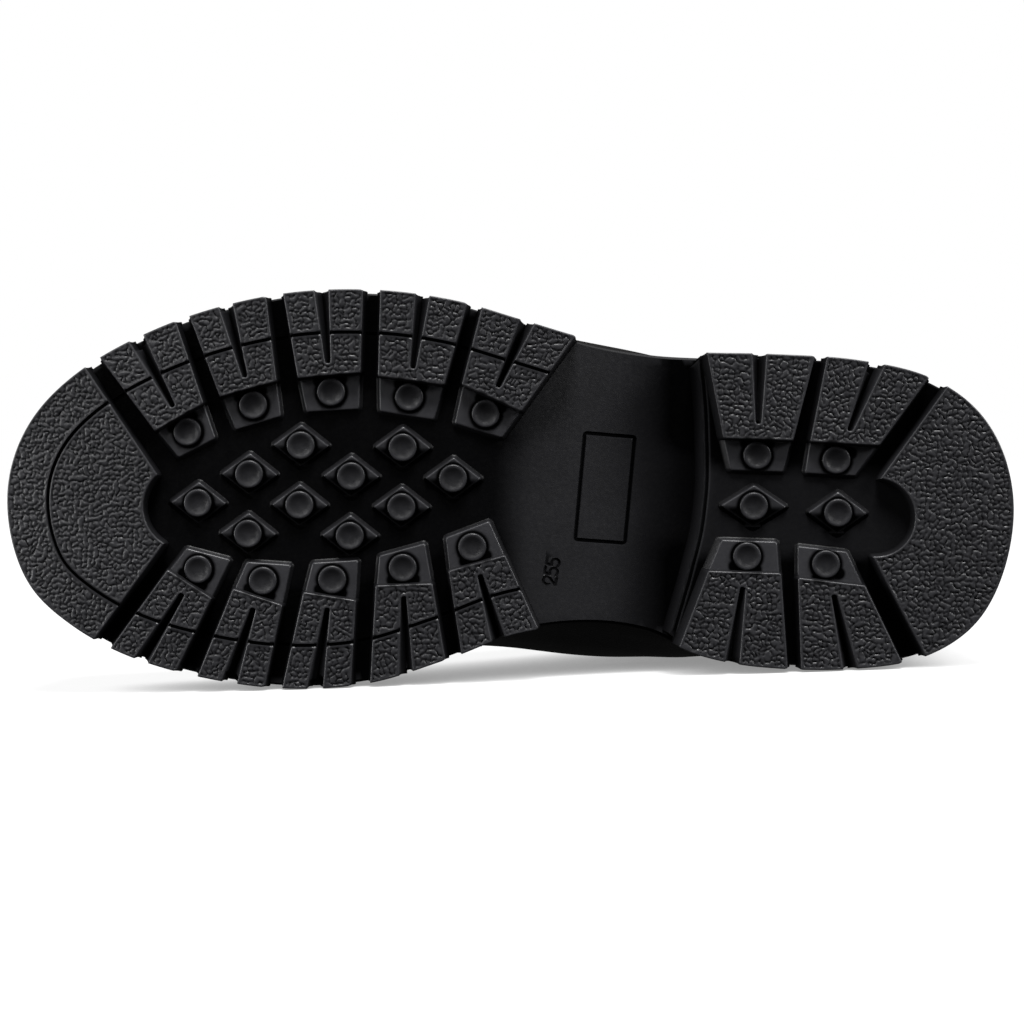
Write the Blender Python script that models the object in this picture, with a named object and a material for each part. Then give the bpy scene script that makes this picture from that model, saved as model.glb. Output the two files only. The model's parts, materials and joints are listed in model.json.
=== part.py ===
"""Steel toe boot, left foot, lying on its inner side with the tread facing -Y.

The boot is modelled standing: x runs from the back of the heel to the toe, y towards
the outer side of a left foot, z up from the tread. Lengths are in millimetres there,
and MM turns them into metres. Every piece hangs on the empty "boot_lie", which lays
the finished boot down on its inner side.
"""

from collections import namedtuple
from math import cos, pi, sin, sqrt

import bmesh
import bpy
import numpy as np
from mathutils import Matrix, Vector

MM = 0.001

# Driving dimensions ---------------------------------------------------------------
SOLE_LENGTH = 291.5
EDGE_POINTS = 64                # points round the sole's outline
UPPER_POINTS = 42               # points round one loop of the upper
LUG_HEIGHT = 5.0                # tread plane to the floor between the lugs
LUG_ROOT = 3.0                  # how far a lug's foot runs up into the sole
LUG_DRAFT = 0.11                # sideways growth of a lug's wall for each mm of height
RIM_STEP = 1.3                  # the lugs' outer ends stand proud of the sole's wall
HEEL_STEP = 1.0                 # the heel block stands a little proud of it too
HEEL_TOP = 22.5                 # where the heel block ends on the sole's side
WAIST_FLOOR = 19.0              # underside of the waist at the heel's breast
WAIST_FRONT, WAIST_BACK = 158.0, 96.0
SPRING_START, SPRING_RISE, SPRING_RUN = 200.0, 12.0, 91.5
SPRING_CUTS = 7                 # cuts across the forefoot, where it bends up
PLATFORM_HEIGHT = 2.4           # low inner end of a lug, above the floor
PLATFORM_DEPTH_FORE, PLATFORM_DEPTH_HEEL = 10.0, 9.0
STUD_INSET_FORE, STUD_INSET_HEEL = 5.3, 4.5
STUD_RADIUS, STUD_SIDES, STUD_TOP = 3.9, 10, 0.25
SLIT_REACH = 13.5               # from a lug's inner end to the end of its slit
SLIT_MOUTH, SLIT_END = 1.6, 0.7  # half-widths of the slit
TOE_SCALLOP = (238.5, -4.0, 12.2)    # x, y, radius of the toe lug's hollow end
HEEL_SCALLOP = (39.5, -3.0, 11.2)
SCALLOP_STEPS = 6
DIAMOND_CENTRE = (205.5, -2.9)
DIAMOND_PITCH = (14.7, 8.6)
DIAMOND_HALF = (8.8, 6.2)
DIAMOND_CELLS = ((2, 0), (1, 1), (1, -1), (0, 2), (0, 0), (-1, 1), (-1, -1), (-2, 2), (-2, 0), (-3, 1))
HEEL_DIAMONDS = ((74.5, -0.5, 10.2), (50.2, -1.9, 9.2))   # x, y, half-length

GAP = 0.3
WELT_THICKNESS = 4.0
INSOLE_THICKNESS = 8.0
WALL = 2.4                      # leather and lining together
OVERLAY, OVERLAY_GAP = 1.5, 0.4
OVERLAY_DROP = 12.0             # the inner form reaches past the outer one below
CAP_LINE = 236.0                # back edge of the toe cap on the ridge
CAP_SWEEP = 16.0                # how far the cap's edge runs forward at its sides
COUNTER_FRONT, COUNTER_TOP = 74.0, 92.0
THROAT_LEVEL, THROAT_ROUND = 6.75, 0.35
THROAT_BOTTOM_HALF, THROAT_TOP_HALF = 9.0, 15.0
TONGUE_THICKNESS = 5.0
TONGUE_LEVELS = (6.2, 12.85)
TONGUE_HALF = (21.0, 30.0)
COLLAR_HALF_THICK, COLLAR_STATIONS, COLLAR_SIDES = 5.2, 27, 10
COLLAR_PROUD = 2.0              # how far the padding stands out past the shaft
EYELET_PAIRS, EYELET_FIRST, EYELET_PITCH = 6, 9.0, 17.6
EYELET_INSET = 8.5              # from the throat's edge to an eyelet's centre
EYELET_OUTER, EYELET_BORE, EYELET_THICK, EYELET_SIDES = 4.5, 2.3, 1.0, 10
EYELET_LIFT = 0.75              # above the facing, which curves under the flat ring
LACE_RADIUS, LACE_STEPS, LACE_BUMP = 1.8, 5, 0.8
LACE_TRIM = 0.1                 # share of a crossing left off at each end, over the eyelet
LACE_BAR_DROP = 2.6             # the lowest bar lies this far below its eyelets
LOOP_WIDTH, LOOP_THICK, LOOP_RISE, LOOP_LEG = 18.0, 1.6, 11.0, 30.0
LOOP_INSIDE_ROOM = 1.8          # the collar's inner face curves away from the flat loop

# The sole's outline at the tread: distance from the centre line at each station x.
EdgeRow = namedtuple("EdgeRow", "x outer inner")
EDGE = [
    EdgeRow(0.0, -1.0, -1.0),
    EdgeRow(8.0, 24.8, -29.8),
    EdgeRow(24.0, 37.2, -42.4),
    EdgeRow(46.0, 42.2, -46.7),
    EdgeRow(72.0, 43.4, -46.7),
    EdgeRow(90.0, 43.4, -43.6),
    EdgeRow(104.0, 43.9, -37.9),
    EdgeRow(122.0, 46.3, -35.9),
    EdgeRow(142.0, 51.6, -38.6),
    EdgeRow(162.0, 56.9, -46.4),
    EdgeRow(184.0, 59.4, -53.6),
    EdgeRow(208.0, 58.3, -55.7),
    EdgeRow(232.0, 53.0, -53.2),
    EdgeRow(254.0, 44.3, -47.6),
    EdgeRow(272.0, 33.4, -38.6),
    EdgeRow(285.0, 19.6, -26.4),
    EdgeRow(SOLE_LENGTH, -2.6, -2.6),
]

# Top of the outsole, before the toe spring is added.
TopRow = namedtuple("TopRow", "x z")
SOLE_TOP = [TopRow(0, 30.0), TopRow(40, 28.8), TopRow(80, 27.2), TopRow(105, 24.6),
            TopRow(130, 20.4), TopRow(155, 15.6), TopRow(180, 12.9), TopRow(205, 12.0),
            TopRow(SOLE_LENGTH, 12.0)]

# The heel's breast, across the sole.
BreastRow = namedtuple("BreastRow", "y x")
BREAST = [BreastRow(-50.0, 100.0), BreastRow(-38.0, 97.6), BreastRow(-20.0, 92.9),
          BreastRow(-5.0, 89.8), BreastRow(8.0, 88.9), BreastRow(24.0, 89.5), BreastRow(50.0, 92.6)]

# Lugs along the sides: where their outer corners meet the outline, and their inner corners.
LugRow = namedtuple("LugRow", "side front back inner_front_x inner_front_y inner_back_x inner_back_y heel")
LUGS = [
    LugRow(1, 265.2, 242.3, 241.2, 10.0, 230.1, 16.0, False),
    LugRow(1, 239.2, 216.2, 224.7, 18.4, 211.2, 22.7, False),
    LugRow(1, 212.2, 188.3, 204.3, 24.0, 188.7, 25.2, False),
    LugRow(1, 184.3, 158.2, 183.2, 24.7, 167.0, 22.5, False),
    LugRow(1, 155.0, 126.8, 161.5, 21.7, 147.3, 17.7, False),
    LugRow(-1, 260.3, 240.0, 238.4, -16.0, 225.0, -19.1, False),
    LugRow(-1, 234.7, 214.2, 220.7, -19.6, 207.4, -20.2, False),
    LugRow(-1, 210.1, 189.4, 201.7, -19.5, 188.1, -18.4, False),
    LugRow(-1, 184.8, 162.4, 182.4, -17.1, 168.9, -13.1, False),
    LugRow(-1, 158.7, 135.8, 163.4, -11.5, 150.5, -6.3, False),
    LugRow(1, 90.1, 58.0, 81.6, 9.8, 66.0, 9.6, True),
    LugRow(1, 55.5, 25.0, 60.2, 9.4, 45.2, 8.9, True),
    LugRow(-1, 96.2, 64.0, 83.8, -10.4, 67.3, -10.6, True),
    LugRow(-1, 61.1, 31.1, 61.8, -11.7, 47.1, -13.1, True),
]
# The toe lug and the heel lug: outline stations where they start and end, and inner corners.
EndLug = namedtuple("EndLug", "outer_x inner_x outer_corner inner_corner scallop toe")
TOE_LUG = EndLug(268.0, 263.5, (246.9, 5.2), (244.2, -14.6), TOE_SCALLOP, True)
HEEL_LUG = EndLug(20.7, 25.4, (38.6, 8.4), (40.4, -14.4), HEEL_SCALLOP, False)

# Loops of the upper from its feather edge (level 0) to the collar. Heights are above the
# feather; half-widths are at the heel, waist and ball; round is the length of the rounded
# front; lean says how far the loop keeps the sole's sideways swing.
Section = namedtuple("Section", "front_x front_h back_x back_h heel waist ball round lean")
SECTIONS = [
    Section(285.6, 0, 5.0, 0, 37.5, 37.0, 51.5, 80, 1.00),
    Section(287.0, 11, 3.0, 10, 39.5, 40.5, 53.3, 80, 1.00),
    Section(285.5, 23, 2.4, 22, 39.5, 42.0, 51.5, 78, 0.95),
    Section(279.5, 33, 3.0, 34, 38.2, 42.0, 46.5, 76, 0.85),
    Section(267.0, 40, 4.5, 46, 37.0, 41.0, 40.5, 76, 0.75),
    Section(248.0, 45, 6.0, 58, 36.0, 39.5, 35.5, 76, 0.60),
    Section(224.0, 52, 7.0, 69, 36.0, 38.5, 33.0, 76, 0.50),
    Section(199.0, 62, 7.2, 79, 36.5, 38.0, 32.0, 74, 0.40),
    Section(174.0, 74, 6.5, 89, 37.5, 38.5, 32.0, 70, 0.30),
    Section(151.0, 87, 5.5, 99, 39.0, 39.5, 32.0, 66, 0.20),
    Section(132.0, 102, 4.5, 109, 40.3, 41.0, 32.0, 60, 0.10),
    Section(119.0, 118, 4.0, 117, 41.5, 42.3, 32.0, 56, 0.00),
    Section(113.0, 138, 3.6, 136, 42.0, 43.0, 32.0, 54, 0.00),
    Section(110.0, 152, 3.4, 150, 42.0, 43.0, 32.0, 54, 0.00),
]
WIDTH_STATIONS = (45.0, 115.0, 200.0)
COLLAR_LEVELS = (11.0, 12.0)
ROUNDNESS = 2.15                # exponent of the rounded ends
HEEL_ROUND_END = 45.0


# Curves ---------------------------------------------------------------------------
def smooth(xs, ys, x):
    """Value at x of a smooth curve through the points (xs, ys) that never overshoots them."""
    xs, ys = np.asarray(xs, float), np.asarray(ys, float)
    x = min(max(x, xs[0]), xs[-1])
    step = np.diff(xs)
    rise = np.diff(ys) / step
    slope = np.zeros(len(xs))
    slope[0], slope[-1] = rise[0], rise[-1]
    for i in range(1, len(xs) - 1):
        if rise[i - 1] * rise[i] > 0:
            a, b = 2 * step[i] + step[i - 1], step[i] + 2 * step[i - 1]
            slope[i] = (a + b) / (a / rise[i - 1] + b / rise[i])
    i = min(int(np.searchsorted(xs, x, side="right")) - 1, len(xs) - 2)
    t = (x - xs[i]) / step[i]
    return float((1 + 2 * t) * (1 - t) ** 2 * ys[i] + t * (1 - t) ** 2 * step[i] * slope[i]
                 + t * t * (3 - 2 * t) * ys[i + 1] + t * t * (t - 1) * step[i] * slope[i + 1])


def column(rows, name):
    """One named column of a table."""
    return [getattr(row, name) for row in rows]


def edge_y(angle):
    """Sole's outline: y where x = SOLE_LENGTH * (1 - cos(angle)) / 2. 0..pi is the outer side."""
    angles = [2 * np.arcsin(sqrt(row.x / SOLE_LENGTH)) for row in EDGE]
    ring_angles = angles + [2 * pi - a for a in angles[-2:0:-1]]
    ring_y = column(EDGE, "outer") + column(EDGE, "inner")[-2:0:-1]
    count = len(ring_angles)
    angle = angle % (2 * pi)
    i = int(np.searchsorted(ring_angles, angle, side="right")) - 1
    near = [((i + k) // count * 2 * pi + ring_angles[(i + k) % count], ring_y[(i + k) % count])
            for k in (-1, 0, 1, 2)]
    (a0, y0), (a1, y1), (a2, y2), (a3, y3) = near
    slope1, slope2 = (y2 - y0) / (a2 - a0), (y3 - y1) / (a3 - a1)
    span = a2 - a1
    t = (angle - a1) / span
    return ((1 + 2 * t) * (1 - t) ** 2 * y1 + t * (1 - t) ** 2 * span * slope1
            + t * t * (3 - 2 * t) * y2 + t * t * (t - 1) * span * slope2)


def edge_point(angle, inset=0.0):
    """Point of the sole's outline, moved inwards by inset."""
    def raw(a):
        return Vector((SOLE_LENGTH * (1 - cos(a)) / 2, edge_y(a)))

    along = (raw(angle + 0.01) - raw(angle - 0.01)).normalized()
    return raw(angle) + Vector((along.y, -along.x)) * inset


def edge_angle(x, side):
    """Angle of the outline's point at station x, on the outer (1) or inner (-1) side."""
    angle = 2 * np.arcsin(sqrt(x / SOLE_LENGTH))
    return angle if side > 0 else 2 * pi - angle


def spring(x):
    """How far the forefoot is bent up at x."""
    return SPRING_RISE * (max(x - SPRING_START, 0.0) / SPRING_RUN) ** 2


def sole_floor(x):
    """Underside of the sole between the lugs, before the toe spring."""
    t = min(max((WAIST_FRONT - x) / (WAIST_FRONT - WAIST_BACK), 0.0), 1.0)
    return LUG_HEIGHT + (WAIST_FLOOR - LUG_HEIGHT) * t * t * (3 - 2 * t)


def sole_top(x):
    """Top of the outsole, before the toe spring."""
    return smooth(column(SOLE_TOP, "x"), column(SOLE_TOP, "z"), x)


def feather_z(x):
    """Height of the upper's lower edge: on the welt, with the toe spring."""
    return sole_top(x) + spring(x) + WELT_THICKNESS + 2 * GAP


def section(level):
    """The upper's loop at any level, read between the rows of SECTIONS."""
    levels = range(len(SECTIONS))
    return Section(*(smooth(levels, column(SECTIONS, name), level) for name in Section._fields))


def middle(x, row):
    """Centre line of a loop: the sole's own swing, weaker higher up."""
    angle = edge_angle(min(max(x, 0.0), SOLE_LENGTH), 1)
    return row.lean * (edge_y(angle) + edge_y(2 * pi - angle)) / 2


def half_width(row, x):
    """Half-width of a loop at x, rounded off at both ends."""
    side = smooth(WIDTH_STATIONS, (row.heel, row.waist, row.ball), x)
    reach = 0.0
    if x < HEEL_ROUND_END:
        reach = (HEEL_ROUND_END - x) / (HEEL_ROUND_END - row.back_x)
    elif x > row.front_x - row.round:
        reach = (x - row.front_x + row.round) / row.round
    return side * max(1 - min(reach, 1.0) ** ROUNDNESS, 0.0) ** (1 / ROUNDNESS)


def loop_height(row, x):
    """Height of a loop at x."""
    t = (x - row.back_x) / (row.front_x - row.back_x)
    return feather_z(x) + row.back_h + (row.front_h - row.back_h) * t


def form_point(level, angle):
    """Point of the upper's outer form. 0 is the heel, 0..pi the outer side, pi the front."""
    row = section(level)
    x = row.back_x + (row.front_x - row.back_x) * (1 - cos(angle)) / 2
    side = 1 if angle % (2 * pi) < pi else -1
    return Vector((x, middle(x, row) + side * half_width(row, x), loop_height(row, x)))


def form_normal(level, angle):
    """Outward normal of the upper's form."""
    top = len(SECTIONS) - 1
    low, high = max(level - 0.1, 0.0), min(level + 0.1, top)
    up = form_point(high, angle) - form_point(low, angle)
    around = form_point(level, angle + 0.05) - form_point(level, angle - 0.05)
    return around.cross(up).normalized() * -1


def form_offset(level, angle, offset):
    """Point at a distance outside the upper's form."""
    return form_point(level, angle) + form_normal(level, angle) * offset


def front_angle(level, y):
    """Angle near a loop's front where it lies at the distance y from its centre line."""
    row = section(level)
    low, high = (pi / 2, pi) if y >= 0 else (pi, 3 * pi / 2)
    for _ in range(40):
        mid = (low + high) / 2
        point = form_point(level, mid)
        beyond = abs(point.y - middle(point.x, row)) > abs(y)
        if beyond == (y >= 0):
            low = mid
        else:
            high = mid
    return (low + high) / 2


def throat_half(level):
    """Half-width of the throat's opening."""
    t = (level - THROAT_LEVEL) / (COLLAR_LEVELS[0] - THROAT_LEVEL)
    return THROAT_BOTTOM_HALF + (THROAT_TOP_HALF - THROAT_BOTTOM_HALF) * t


def ridge_level(distance):
    """Level on the front ridge at a distance up from the throat's lower end."""
    levels = np.linspace(THROAT_LEVEL, COLLAR_LEVELS[0], 60)
    points = [form_point(level, pi) for level in levels]
    lengths = np.cumsum([0.0] + [(b - a).length for a, b in zip(points, points[1:])])
    return float(np.interp(distance, lengths, levels))


# Meshes ---------------------------------------------------------------------------
def material(name, colour, roughness, metallic=0.0):
    """A plain Principled material."""
    made = bpy.data.materials.get(name) or bpy.data.materials.new(name)
    made.use_nodes = True
    shader = made.node_tree.nodes["Principled BSDF"]
    shader.inputs["Base Color"].default_value = (*colour, 1.0)
    shader.inputs["Roughness"].default_value = roughness
    shader.inputs["Metallic"].default_value = metallic
    return made


def rubber():
    return material("black_rubber", (0.018, 0.018, 0.019), 0.62)


def leather():
    return material("black_leather", (0.016, 0.015, 0.015), 0.45)


def textile():
    return material("black_textile", (0.02, 0.02, 0.02), 0.9)


def steel():
    return material("dark_metal", (0.06, 0.06, 0.065), 0.35, 0.9)


def new_object(name, points, faces, finish, collection):
    """An object from points in millimetres, with its faces turned outwards."""
    shape = bmesh.new()
    verts = [shape.verts.new(Vector(point) * MM) for point in points]
    for face in faces:
        shape.faces.new([verts[i] for i in face])
    bmesh.ops.recalc_face_normals(shape, faces=shape.faces)
    mesh = bpy.data.meshes.new(name)
    shape.to_mesh(mesh)
    shape.free()
    mesh.materials.append(finish)
    made = bpy.data.objects.new(name, mesh)
    collection.objects.link(made)
    return made


def strip_cap(start, count):
    """Faces that close a loop by joining each point to the one across from it."""
    half = count // 2
    faces = [(start, start + 1, start + count - 1), (start + half - 1, start + half, start + half + 1)]
    for i in range(1, half - 1):
        faces.append((start + i, start + i + 1, start + count - i - 1, start + count - i))
    return faces


def walls(first, second, count):
    """Faces between two loops with the same number of points."""
    return [(first + i, first + (i + 1) % count, second + (i + 1) % count, second + i)
            for i in range(count)]


def stack(name, loops, finish, collection, closed=True):
    """A body through a stack of loops, with caps at both ends."""
    count = len(loops[0])
    points = [point for loop in loops for point in loop]
    faces = []
    for k in range(len(loops) - 1):
        faces += walls(k * count, (k + 1) * count, count)
    if closed:
        faces += strip_cap(0, count) + strip_cap((len(loops) - 1) * count, count)
    return new_object(name, points, faces, finish, collection)


def ring_body(name, loops, finish, collection):
    """A closed ring through loops that run all the way round its section."""
    count = len(loops[0])
    points = [point for loop in loops for point in loop]
    faces = []
    for k in range(len(loops)):
        faces += walls(k * count, (k + 1) % len(loops) * count, count)
    return new_object(name, points, faces, finish, collection)


def outline_loop(inset, height):
    """Loop of points on the sole's outline, at a height that depends on x."""
    loop = []
    for i in range(EDGE_POINTS):
        point = edge_point(2 * pi * i / EDGE_POINTS, inset)
        loop.append((point.x, point.y, height(min(max(point.x, 0.0), SOLE_LENGTH))))
    return loop


def form_loop(level, offset):
    """Loop of the upper's form at a level, moved outwards by offset."""
    return [tuple(form_offset(level, 2 * pi * i / UPPER_POINTS, offset)) for i in range(UPPER_POINTS)]


def feather_loop(count, offset, lift=0.0):
    """Loop round the feather edge, moved outwards in plan and lifted above the feather's height."""
    loop = []
    for i in range(count):
        point = form_offset(0, 2 * pi * i / count, offset)
        loop.append((point.x, point.y, feather_z(point.x) + lift))
    return loop


def boolean(target, cutter, operation):
    """Join or cut a body with another by an exact Boolean, applied at once."""
    step = target.modifiers.new(operation.lower(), "BOOLEAN")
    step.operation = operation
    step.solver = "EXACT"
    step.object = cutter
    apply_modifiers(target)


def apply_modifiers(target):
    """Replace an object's mesh by what its modifiers make of it."""
    bpy.context.view_layer.update()
    evaluated = target.evaluated_get(bpy.context.evaluated_depsgraph_get())
    mesh = bpy.data.meshes.new_from_object(evaluated)
    target.modifiers.clear()
    target.data = mesh


def clean(target, distance=0.02):
    """Weld points closer than distance, in millimetres, and drop faces with no area."""
    shape = bmesh.new()
    shape.from_mesh(target.data)
    bmesh.ops.remove_doubles(shape, verts=shape.verts, dist=distance * MM)
    bmesh.ops.dissolve_degenerate(shape, edges=shape.edges, dist=0.002 * MM)
    bmesh.ops.recalc_face_normals(shape, faces=shape.faces)
    shape.to_mesh(target.data)
    shape.free()


def shade(target, angle=0.6):
    """Smooth shading with sharp edges kept."""
    target.data.shade_smooth()
    target.data.set_sharp_from_angle(angle=angle)


# Tread ----------------------------------------------------------------------------
def grow(outline, amount):
    """Move a flat outline's sides outwards; sides between two rim points stay.

    outline holds (x, y, rim). Each corner is where its two moved sides cross.
    """
    count = len(outline)
    area = sum(outline[i][0] * outline[(i + 1) % count][1] - outline[(i + 1) % count][0] * outline[i][1]
               for i in range(count))
    turn = 1 if area > 0 else -1
    sides = []
    for i in range(count):
        (x0, y0, rim0), (x1, y1, rim1) = outline[i], outline[(i + 1) % count]
        along = Vector((x1 - x0, y1 - y0)).normalized()
        sides.append((Vector((along.y, -along.x)) * turn, 0.0 if rim0 and rim1 else amount))
    grown = []
    for i in range(count):
        (n0, d0), (n1, d1) = sides[i - 1], sides[i]
        corner = Vector(outline[i][:2])
        cross = n0.x * n1.y - n0.y * n1.x
        if abs(cross) < 0.05:
            grown.append(corner + (n0 + n1).normalized() * (d0 + d1) / 2)
        else:
            grown.append(corner + Vector((d0 * n1.y - d1 * n0.y, d1 * n0.x - d0 * n1.x)) / cross)
    return grown


def drafted_prism(outline, top, root=LUG_ROOT):
    """Points and faces of a lug: its tread face, its foot at the floor and its root above."""
    count = len(outline)
    foot = grow(outline, LUG_DRAFT * (LUG_HEIGHT - top))
    tread = [(x, y, top) for x, y, _ in outline]
    low = [(p.x, p.y, sole_floor(p.x)) for p in foot]
    high = [(x, y, z + root) for x, y, z in low]
    faces = [tuple(range(count)), tuple(range(2 * count, 3 * count))]
    faces += walls(0, count, count) + walls(count, 2 * count, count)
    return tread + low + high, faces


def joined(name, prisms, collection):
    """One object of several bodies that stay clear of each other."""
    points, faces = [], []
    for prism_points, prism_faces in prisms:
        faces += [tuple(i + len(points) for i in face) for face in prism_faces]
        points += prism_points
    made = new_object(name, points, faces, rubber(), collection)
    shape = bmesh.new()
    shape.from_mesh(made.data)
    bmesh.ops.triangulate(shape, faces=shape.faces)
    shape.to_mesh(made.data)
    shape.free()
    return made


def lug_frame(row):
    """A side lug's corners, and the unit vector from its inner end to its outer end."""
    outer_front = edge_point(edge_angle(row.front, row.side))
    outer_back = edge_point(edge_angle(row.back, row.side))
    inner_front = Vector((row.inner_front_x, row.inner_front_y))
    inner_back = Vector((row.inner_back_x, row.inner_back_y))
    outwards = ((outer_front + outer_back) - (inner_front + inner_back)).normalized()
    return outer_front, outer_back, inner_front, inner_back, outwards


def cross_cut(inner, outer, outwards, base, reach):
    """Point on the side inner..outer that lies at reach from the lug's inner end."""
    side = outer - inner
    return inner + side * ((base - inner).dot(outwards) + reach) / side.dot(outwards)


def side_block(row):
    """The tall outer part of a side lug, with its slit."""
    front, back, inner_front, inner_back, outwards = lug_frame(row)
    across = (back - front).normalized()
    base = (inner_front + inner_back) / 2
    depth = PLATFORM_DEPTH_HEEL if row.heel else PLATFORM_DEPTH_FORE
    step_front = cross_cut(inner_front, front, outwards, base, depth)
    step_back = cross_cut(inner_back, back, outwards, base, depth)
    mouth = edge_point(edge_angle((row.front + row.back) / 2, row.side))
    end = base + outwards * SLIT_REACH
    outline = [(*front, True), (*(mouth - across * SLIT_MOUTH), True),
               (*(end - across * SLIT_END + outwards * SLIT_END), False), (*end, False),
               (*(end + across * SLIT_END + outwards * SLIT_END), False),
               (*(mouth + across * SLIT_MOUTH), True), (*back, True),
               (*step_back, False), (*step_front, False)]
    return drafted_prism(outline, 0.0)


def side_platform(row):
    """The low inner end of a side lug."""
    front, back, inner_front, inner_back, outwards = lug_frame(row)
    base = (inner_front + inner_back) / 2
    reach = (PLATFORM_DEPTH_HEEL if row.heel else PLATFORM_DEPTH_FORE) + 2.0
    across = (inner_back - inner_front).normalized() * 0.25
    corners = [inner_front + across, cross_cut(inner_front, front, outwards, base, reach) + across,
               cross_cut(inner_back, back, outwards, base, reach) - across, inner_back - across]
    return drafted_prism([(*corner, False) for corner in corners], LUG_HEIGHT - PLATFORM_HEIGHT, 2.0)


def stud(x, y):
    """A round stud on a platform or a diamond."""
    outline = []
    for i in range(STUD_SIDES):
        turn = 2 * pi * i / STUD_SIDES
        outline.append((x + STUD_RADIUS * cos(turn), y + STUD_RADIUS * sin(turn), False))
    return drafted_prism(outline, STUD_TOP, 1.0)


def diamond(x, y, half_length, half_width_):
    """A low diamond that carries a stud."""
    outline = [(x + half_length, y, False), (x, y + half_width_, False),
               (x - half_length, y, False), (x, y - half_width_, False)]
    return drafted_prism(outline, LUG_HEIGHT - PLATFORM_HEIGHT, 2.0)


def diamond_places():
    """Centre and half-length of every diamond, forefoot first."""
    places = [(DIAMOND_CENTRE[0] + DIAMOND_PITCH[0] * i, DIAMOND_CENTRE[1] + DIAMOND_PITCH[1] * j,
               DIAMOND_HALF[0]) for i, j in DIAMOND_CELLS]
    return places + list(HEEL_DIAMONDS)


def stud_places():
    """Centres of all the studs."""
    places = []
    for row in LUGS:
        _, _, inner_front, inner_back, outwards = lug_frame(row)
        inset = STUD_INSET_HEEL if row.heel else STUD_INSET_FORE
        places.append(tuple((inner_front + inner_back) / 2 + outwards * inset))
    return places + [(x, y) for x, y, _ in diamond_places()]


def end_lug(row, steps=18):
    """The large lug round the toe or the heel, hollowed at its inner end."""
    start, stop = edge_angle(row.outer_x, 1), edge_angle(row.inner_x, -1)
    if not row.toe:
        stop -= 2 * pi
    outline = [(*edge_point(start + (stop - start) * i / steps), True) for i in range(steps + 1)]
    cx, cy, radius = row.scallop
    first = np.arctan2(row.inner_corner[1] - cy, row.inner_corner[0] - cx)
    last = np.arctan2(row.outer_corner[1] - cy, row.outer_corner[0] - cx)
    if not row.toe and first < 0:
        first += 2 * pi
    for i in range(SCALLOP_STEPS + 1):
        turn = first + (last - first) * i / SCALLOP_STEPS
        outline.append((cx + radius * cos(turn), cy + radius * sin(turn), False))
    return drafted_prism(outline, 0.0)


def breast_x(y):
    """Station of the heel's breast at y."""
    return smooth(column(BREAST, "y"), column(BREAST, "x"), y)


def heel_block(collection):
    """The heel below the waist: the sole's outline back from the breast."""
    start, stop = edge_angle(breast_x(42.0), 1), edge_angle(breast_x(-38.0), -1) - 2 * pi
    steps = 26
    outline = [tuple(edge_point(start + (stop - start) * i / steps, HEEL_STEP)) for i in range(steps + 1)]
    low, high = outline[-1][1], outline[0][1]
    for i in range(1, 8):
        y = low + (high - low) * i / 8
        outline.append((breast_x(y), y))
    count = len(outline)
    points = [(x, y, LUG_HEIGHT) for x, y in outline] + [(x, y, HEEL_TOP) for x, y in outline]
    faces = [tuple(range(count)), tuple(range(count, 2 * count))] + walls(0, count, count)
    return new_object("heel_block", points, faces, rubber(), collection)


def bend_forefoot(target):
    """Cut the flat sole into strips across the forefoot and lift them by the toe spring."""
    shape = bmesh.new()
    shape.from_mesh(target.data)
    for i in range(1, SPRING_CUTS + 1):
        x = SPRING_START + (SOLE_LENGTH - SPRING_START) * i / (SPRING_CUTS + 1)
        everything = shape.verts[:] + shape.edges[:] + shape.faces[:]
        bmesh.ops.bisect_plane(shape, geom=everything, dist=0.0005 * MM,
                               plane_co=(x * MM, 0, 0), plane_no=(1, 0, 0))
    bmesh.ops.triangulate(shape, faces=shape.faces)
    for vert in shape.verts:
        vert.co.z += spring(vert.co.x / MM) * MM
    shape.to_mesh(target.data)
    shape.free()


def make_outsole(parts, cutters):
    """The outsole: its body, heel block, lugs, platforms and studs joined into one solid."""
    loops = [outline_loop(RIM_STEP, sole_floor),
             outline_loop(RIM_STEP, lambda x: (sole_floor(x) + sole_top(x)) / 2),
             outline_loop(RIM_STEP + 0.2, sole_top)]
    sole = stack("outsole", loops, rubber(), parts)
    diamonds = [diamond(x, y, half, DIAMOND_HALF[1]) for x, y, half in diamond_places()]
    operands = [
        heel_block(cutters),
        joined("tread_blocks", [side_block(row) for row in LUGS] + [end_lug(TOE_LUG), end_lug(HEEL_LUG)],
               cutters),
        joined("tread_platforms", [side_platform(row) for row in LUGS] + diamonds, cutters),
        joined("tread_studs", [stud(x, y) for x, y in stud_places()], cutters),
    ]
    for operand in operands:
        boolean(sole, operand, "UNION")
    clean(sole)
    bend_forefoot(sole)
    shade(sole)
    return sole


# Welt, insole ---------------------------------------------------------------------
def make_welt(parts):
    """The welt: a flat ring round the top of the outsole, under the upper's edge."""
    def lifted(lift):
        return lambda x: sole_top(x) + spring(x) + lift

    low, high = GAP, GAP + WELT_THICKNESS
    inset = -WALL - 2.0 * GAP
    loops = [outline_loop(0.3, lifted(low)), outline_loop(0.2, lifted(high - 0.8)),
             outline_loop(0.9, lifted(high)),
             feather_loop(EDGE_POINTS, inset, -GAP), feather_loop(EDGE_POINTS, inset, -GAP - WELT_THICKNESS)]
    welt = ring_body("welt", loops, rubber(), parts)
    shade(welt)


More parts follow.
